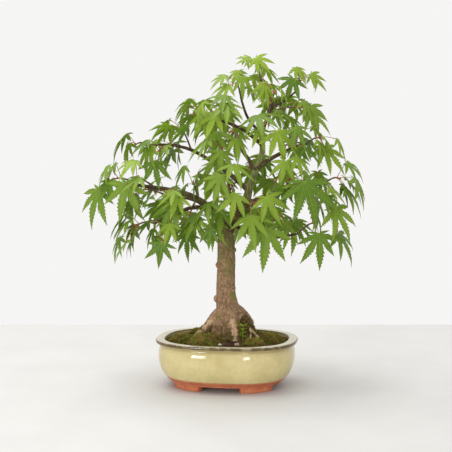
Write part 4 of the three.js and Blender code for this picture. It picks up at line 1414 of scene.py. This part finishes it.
def make_root_moss(wood, material):
    """Moss that has climbed from the soil onto the trunk's foot, thickest at the right."""
    build = Build()
    chance = random.Random(77)
    for face in wood.data.polygons:
        middle = face.center / MM
        p = (middle.x - SHIFT.x, middle.y - SHIFT.y, middle.z)
        if p[2] > MOSS_CLIMB or p[2] < SOIL_EDGE:
            continue
        heading = math.atan2(p[1], p[0])
        right = 0.5 + 0.5 * math.cos(heading + 0.7)
        cover = 0.75 * (MOSS_CLIMB - p[2]) / (MOSS_CLIMB - SOIL_EDGE) + 0.35 * right
        cover += 0.55 * noise.noise(Vector(p) / 7) + 0.25 * noise.noise(Vector(p) / 2)
        if cover < 0.58 + 0.9 * pale_crest(middle):
            continue
        count = ROOT_TUFTS * face.area / MM ** 2
        for _ in range(int(count) + (chance.random() < count % 1)):
            corners = [wood.data.vertices[i].co for i in face.vertices[:3]]
            a, b = sorted((chance.random(), chance.random()))
            spot = (corners[0] * a + corners[1] * (b - a) + corners[2] * (1 - b)) / MM
            place = (spot.x - SHIFT.x, spot.y - SHIFT.y, spot.z)
            tuft(build, place, tuple(face.normal), chance.uniform(0.8, 1.8), chance)
    piece = build.finish("moss_on_roots", [material], smooth=False)
    return own(piece, "moss")


# ---- Leaves ----
# A lobe: its angle from the middle one, its length as a share of the leaf's, and its teeth a side.
LOBES = [
    (-118, 0.37, 3),
    (-78, 0.67, 5),
    (-38, 0.9, 7),
    (0, 1.0, 7),
    (38, 0.9, 7),
    (78, 0.67, 5),
    (118, 0.37, 3),
]
SHARED_ROWS = (0.0, 0.07, 0.14, 0.21, 0.28)
BLADE_THICKNESS = 0.3
COLUMNS = (-1, -0.5, 0, 0.5, 1)
# Half the angle between the outermost lobe and the stalk's side of the blade, in degrees.
OUTER_LIMIT = 124
# A leaf longer than this, in millimetres, holds its lobes closer together.
CLOSING_SIZE = 56


def lobe_half_width(share, length):
    """Half the width of a lobe at a share of its length: a long drawn-out point."""
    swell = math.sin(math.pi * min(1.0, share) ** 0.72)
    return 0.13 * length * swell * (1 - 0.2 * share)


def lobe_rows(length, teeth):
    """Distances along a lobe, with how far the margin stands out there: in at a notch, out at a tooth."""
    rows = [(s, 1.0) for s in SHARED_ROWS if s < length * 0.9]
    start = rows[-1][0]
    for tooth in range(teeth):
        for share, stand in ((0.35, 0.8), (1.0, 1.2)):
            s = start + (length * 0.955 - start) * (tooth + share) / teeth
            rows.append((s, stand))
    rows.append((length, 0.0))
    return rows


def fine_blade(build, leaf, chance, slot):
    """The leaf's blade: a strip of faces for each lobe, which share their edges near the stalk."""
    size = leaf.size
    tone = min(1.0, max(0.0, chance.gauss(0.5, 0.28) + (leaf.pivot[2] - 270) / 420))
    curl = chance.uniform(0.04, 0.3)
    closing = chance.uniform(0.84, 1.04) * min(1.0, CLOSING_SIZE / size)
    wave = chance.uniform(0.4, 1.0)
    fold = chance.uniform(0.15, 0.4)
    sweep = chance.uniform(-0.05, 0.05)

    def surface(x, y, lateral):
        distance = math.hypot(x, y)
        share = distance / size
        height = -LEAF_CONE * distance - curl * size * share ** 3 + fold * lateral
        height += sweep * y
        p = add(add(add(leaf.pivot, leaf.along, x), leaf.side, y), leaf.normal, height)
        ripple = wave * noise.noise(Vector(p) / 9) * min(1.0, share * 2.5)
        return add(p, leaf.normal, ripple)

    angles = [lobe[0] for lobe in LOBES]
    outer = chance.uniform(0.5, 1.0)
    for index, (angle, reach, teeth) in enumerate(LOBES):
        bend = chance.uniform(-0.12, 0.12)
        if abs(angle) > 100:
            reach *= outer
        elif angle:
            reach *= chance.uniform(0.86, 1.04)
        before = (angle - angles[index - 1]) * closing if index else OUTER_LIMIT
        after = (angles[index + 1] - angle) * closing if index + 1 < len(LOBES) else OUTER_LIMIT
        limits = (math.tan(math.radians(before / 2)), math.tan(math.radians(after / 2)))
        heading = math.radians(angle * closing)
        rows = []
        for number, (s, stand) in enumerate(lobe_rows(reach, teeth)):
            shared = number < len(SHARED_ROWS)
            row = []
            for column in COLUMNS:
                full = lobe_half_width(s / reach, reach)
                limit = s * limits[0 if column < 0 else 1]
                half = min(limit, full) if shared else min(limit, full * stand)
                lateral = half * column
                forward = s if shared else s + 0.55 * abs(lateral)
                forward = min(forward, reach)
                aside = lateral + bend * max(0.0, s - SHARED_ROWS[-1]) ** 2
                x = (forward * math.cos(heading) - aside * math.sin(heading)) * size
                y = (forward * math.sin(heading) + aside * math.cos(heading)) * size
                p = surface(x, y, abs(lateral) * size)
                row.append(build.point(
                    p, tone=tone, rib=abs(lateral) * size, rim=0.0 if shared else abs(column),
                    vein=1.0 if stand > 1 else 0.0,
                ))
            rows.append(row)
        build.grid(rows, slot, closed=False)


def thicken(piece, slot):
    """Gives the blades their thickness, and leaves the stalks as they are."""
    mesh = piece.data
    work = bmesh.new()
    work.from_mesh(mesh)
    blades = [face for face in work.faces if face.material_index == slot]
    bmesh.ops.solidify(work, geom=blades, thickness=BLADE_THICKNESS * MM)
    work.to_mesh(mesh)
    work.free()


def bent_stalk(leaf, chance):
    """A leaf stalk's route, which arches a little on its way from the twig to the blade."""
    reach = length_of(sub(leaf.pivot, leaf.foot))
    arch = (chance.uniform(-0.04, 0.04) * reach, chance.uniform(-0.04, 0.04) * reach, 0.09 * reach)
    middle = add(lerp(leaf.foot, leaf.pivot, 0.5), arch)
    return spline([leaf.foot, middle, leaf.pivot], 4)


def bud_scales(build, place, heading, chance):
    """Two small pointed scales at the foot of a stalk."""
    across = unit(cross(heading, UP))
    for side in (-1, 1):
        tip = add(add(place, heading, chance.uniform(2.0, 3.0)), across, side * 0.8)
        bulge = add(lerp(place, tip, 0.4), across, side * 0.5)
        tube(build, [place, bulge, tip], [0.7, 0.85, 0.12], 6, 1, kind=2.0)


def make_shoot(name, route, leaves, leaf_surface, stalk_surface, seed):
    """One spray: its knobbed twig, and each leaf with its stalk and scales."""
    chance = random.Random(seed)
    build = Build(tree_to_frame)
    twig = spline([(*p, radius) for p, radius in zip(route, (1.25, 1.1, 0.95, 0.8))], 5)
    inner = sub(route[0], route[1])
    start = (*add(route[0], unit(inner), 1.2), 1.3)
    twig = [start] + twig
    knobbed = [p[3] * (1.22 if i % 4 == 2 else 1.0) for i, p in enumerate(twig)]
    tube(build, [p[:3] for p in twig], knobbed, 8, 1, kind=0.0)
    end = route[3]
    heading = unit(sub(end, route[2]))
    bud_scales(build, end, heading, chance)
    for leaf in leaves:
        stalk = bent_stalk(leaf, chance)
        steps = len(stalk) - 1
        radii = [0.62 - 0.22 * math.sin(math.pi * i / steps) for i in range(steps + 1)]
        tube(build, stalk, radii, 6, 1, kind=[0.75] + [1.0] * steps)
        bud_scales(build, leaf.foot, unit(sub(stalk[1], leaf.foot)), chance)
        fine_blade(build, leaf, chance, 0)
    piece = build.finish("spray_" + name, [leaf_surface, stalk_surface], merge=0.000004)
    thicken(piece, 0)
    piece.data.polygons.foreach_set("use_smooth", [True] * len(piece.data.polygons))
    return own(piece, "leaf", "shoot_" + name)


# ---- The object ----
make_pot(glaze_material())
make_soil(soil_material())
moss = moss_material()
for seed, row in enumerate(MOSS_CUSHIONS):
    make_moss(row, moss, seed + 1)
make_pebble("pink", 12, -46, 7, stone_material("pink_stone", "a88b7b", "806456"), 3)
make_pebble("white", -9, -46, 5, stone_material("white_stone", "c0bbad", "938d80"), 8)
stalks = stalk_material()
make_seedling(leaf_material("young_leaf", True))
metal = wire_material()
for side in (-1, 1):
    make_wire(side, metal)
plastic = screen_material()
for side_name in ("left", "right"):
    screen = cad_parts["drainage_screen_" + side_name]
    screen.data.materials.clear()
    screen.data.materials.append(plastic)
wood = make_wood(bark_material())
make_root_moss(wood, moss)
leaf_surface = leaf_material("leaf", False)
routes, leaves = plan_foliage()
for index, row in enumerate(SHOOTS):
    own_leaves = [leaf for leaf in leaves if leaf.owner == row[0]]
    make_shoot(row[0], routes[row[0]], own_leaves, leaf_surface, stalks, 300 + index)


# ---- Floor, backdrop and light ----
def floor_material():
    s = Shader("floor", roughness=0.6)
    s.color(s.mix(s.ramp(s.noise(9, 4), 0.3, 0.7), "c9c8c5", "c5c3c0"))
    s.bump(s.noise(900, 3), 0.0001, 0.2)
    return s.material


FLOOR_HALF = 0.42
# A light: its name, place, aim, size in metres and power in watts.
LIGHTS = [
    ("front_left", (-0.86, -1.23, 0.24), (0, 0, 0.1), (0.38, 0.3), 6),
    ("front_right", (0.19, -1.49, 0.24), (0, 0, 0.1), (0.22, 0.28), 3),
    ("overhead", (-0.3, 0.1, 1.5), (0, 0, 0.25), (1.0, 0.9), 16),
]
WORLD_COLOR = (1.0, 0.995, 0.985, 1)
WORLD_STRENGTH = 0.92


def make_floor():
    """A pale square floor, turned so that its edges are square to the camera's view."""
    half = FLOOR_HALF
    mesh = bpy.data.meshes.new("floor")
    corners = [(-half, -half, 0), (half, -half, 0), (half, half, 0), (-half, half, 0)]
    mesh.from_pydata(corners, [], [(0, 1, 2, 3)])
    mesh.materials.append(floor_material())
    floor = bpy.data.objects.new("floor", mesh)
    floor.rotation_euler = (0, 0, TREE_TURN)
    bpy.context.collection.objects.link(floor)


def soft_light(name, place, aim, size, power):
    """A soft rectangular light, placed and aimed in the tree's own directions, in metres."""
    data = bpy.data.lights.new(name, "AREA")
    data.shape = "RECTANGLE"
    data.size, data.size_y = size
    data.energy = power
    light = bpy.data.objects.new(name, data)
    turn = Matrix.Rotation(TREE_TURN, 3, "Z")
    light.location = turn @ Vector(place)
    direction = turn @ (Vector(aim) - Vector(place))
    light.rotation_euler = direction.to_track_quat("-Z", "Y").to_euler()
    bpy.context.collection.objects.link(light)


make_floor()
for light_row in LIGHTS:
    soft_light(*light_row)
world = bpy.data.worlds.new("studio")
world.use_nodes = True
world.node_tree.nodes["Background"].inputs["Color"].default_value = WORLD_COLOR
world.node_tree.nodes["Background"].inputs["Strength"].default_value = WORLD_STRENGTH
bpy.context.scene.world = world
bpy.context.scene.view_settings.view_transform = "Standard"
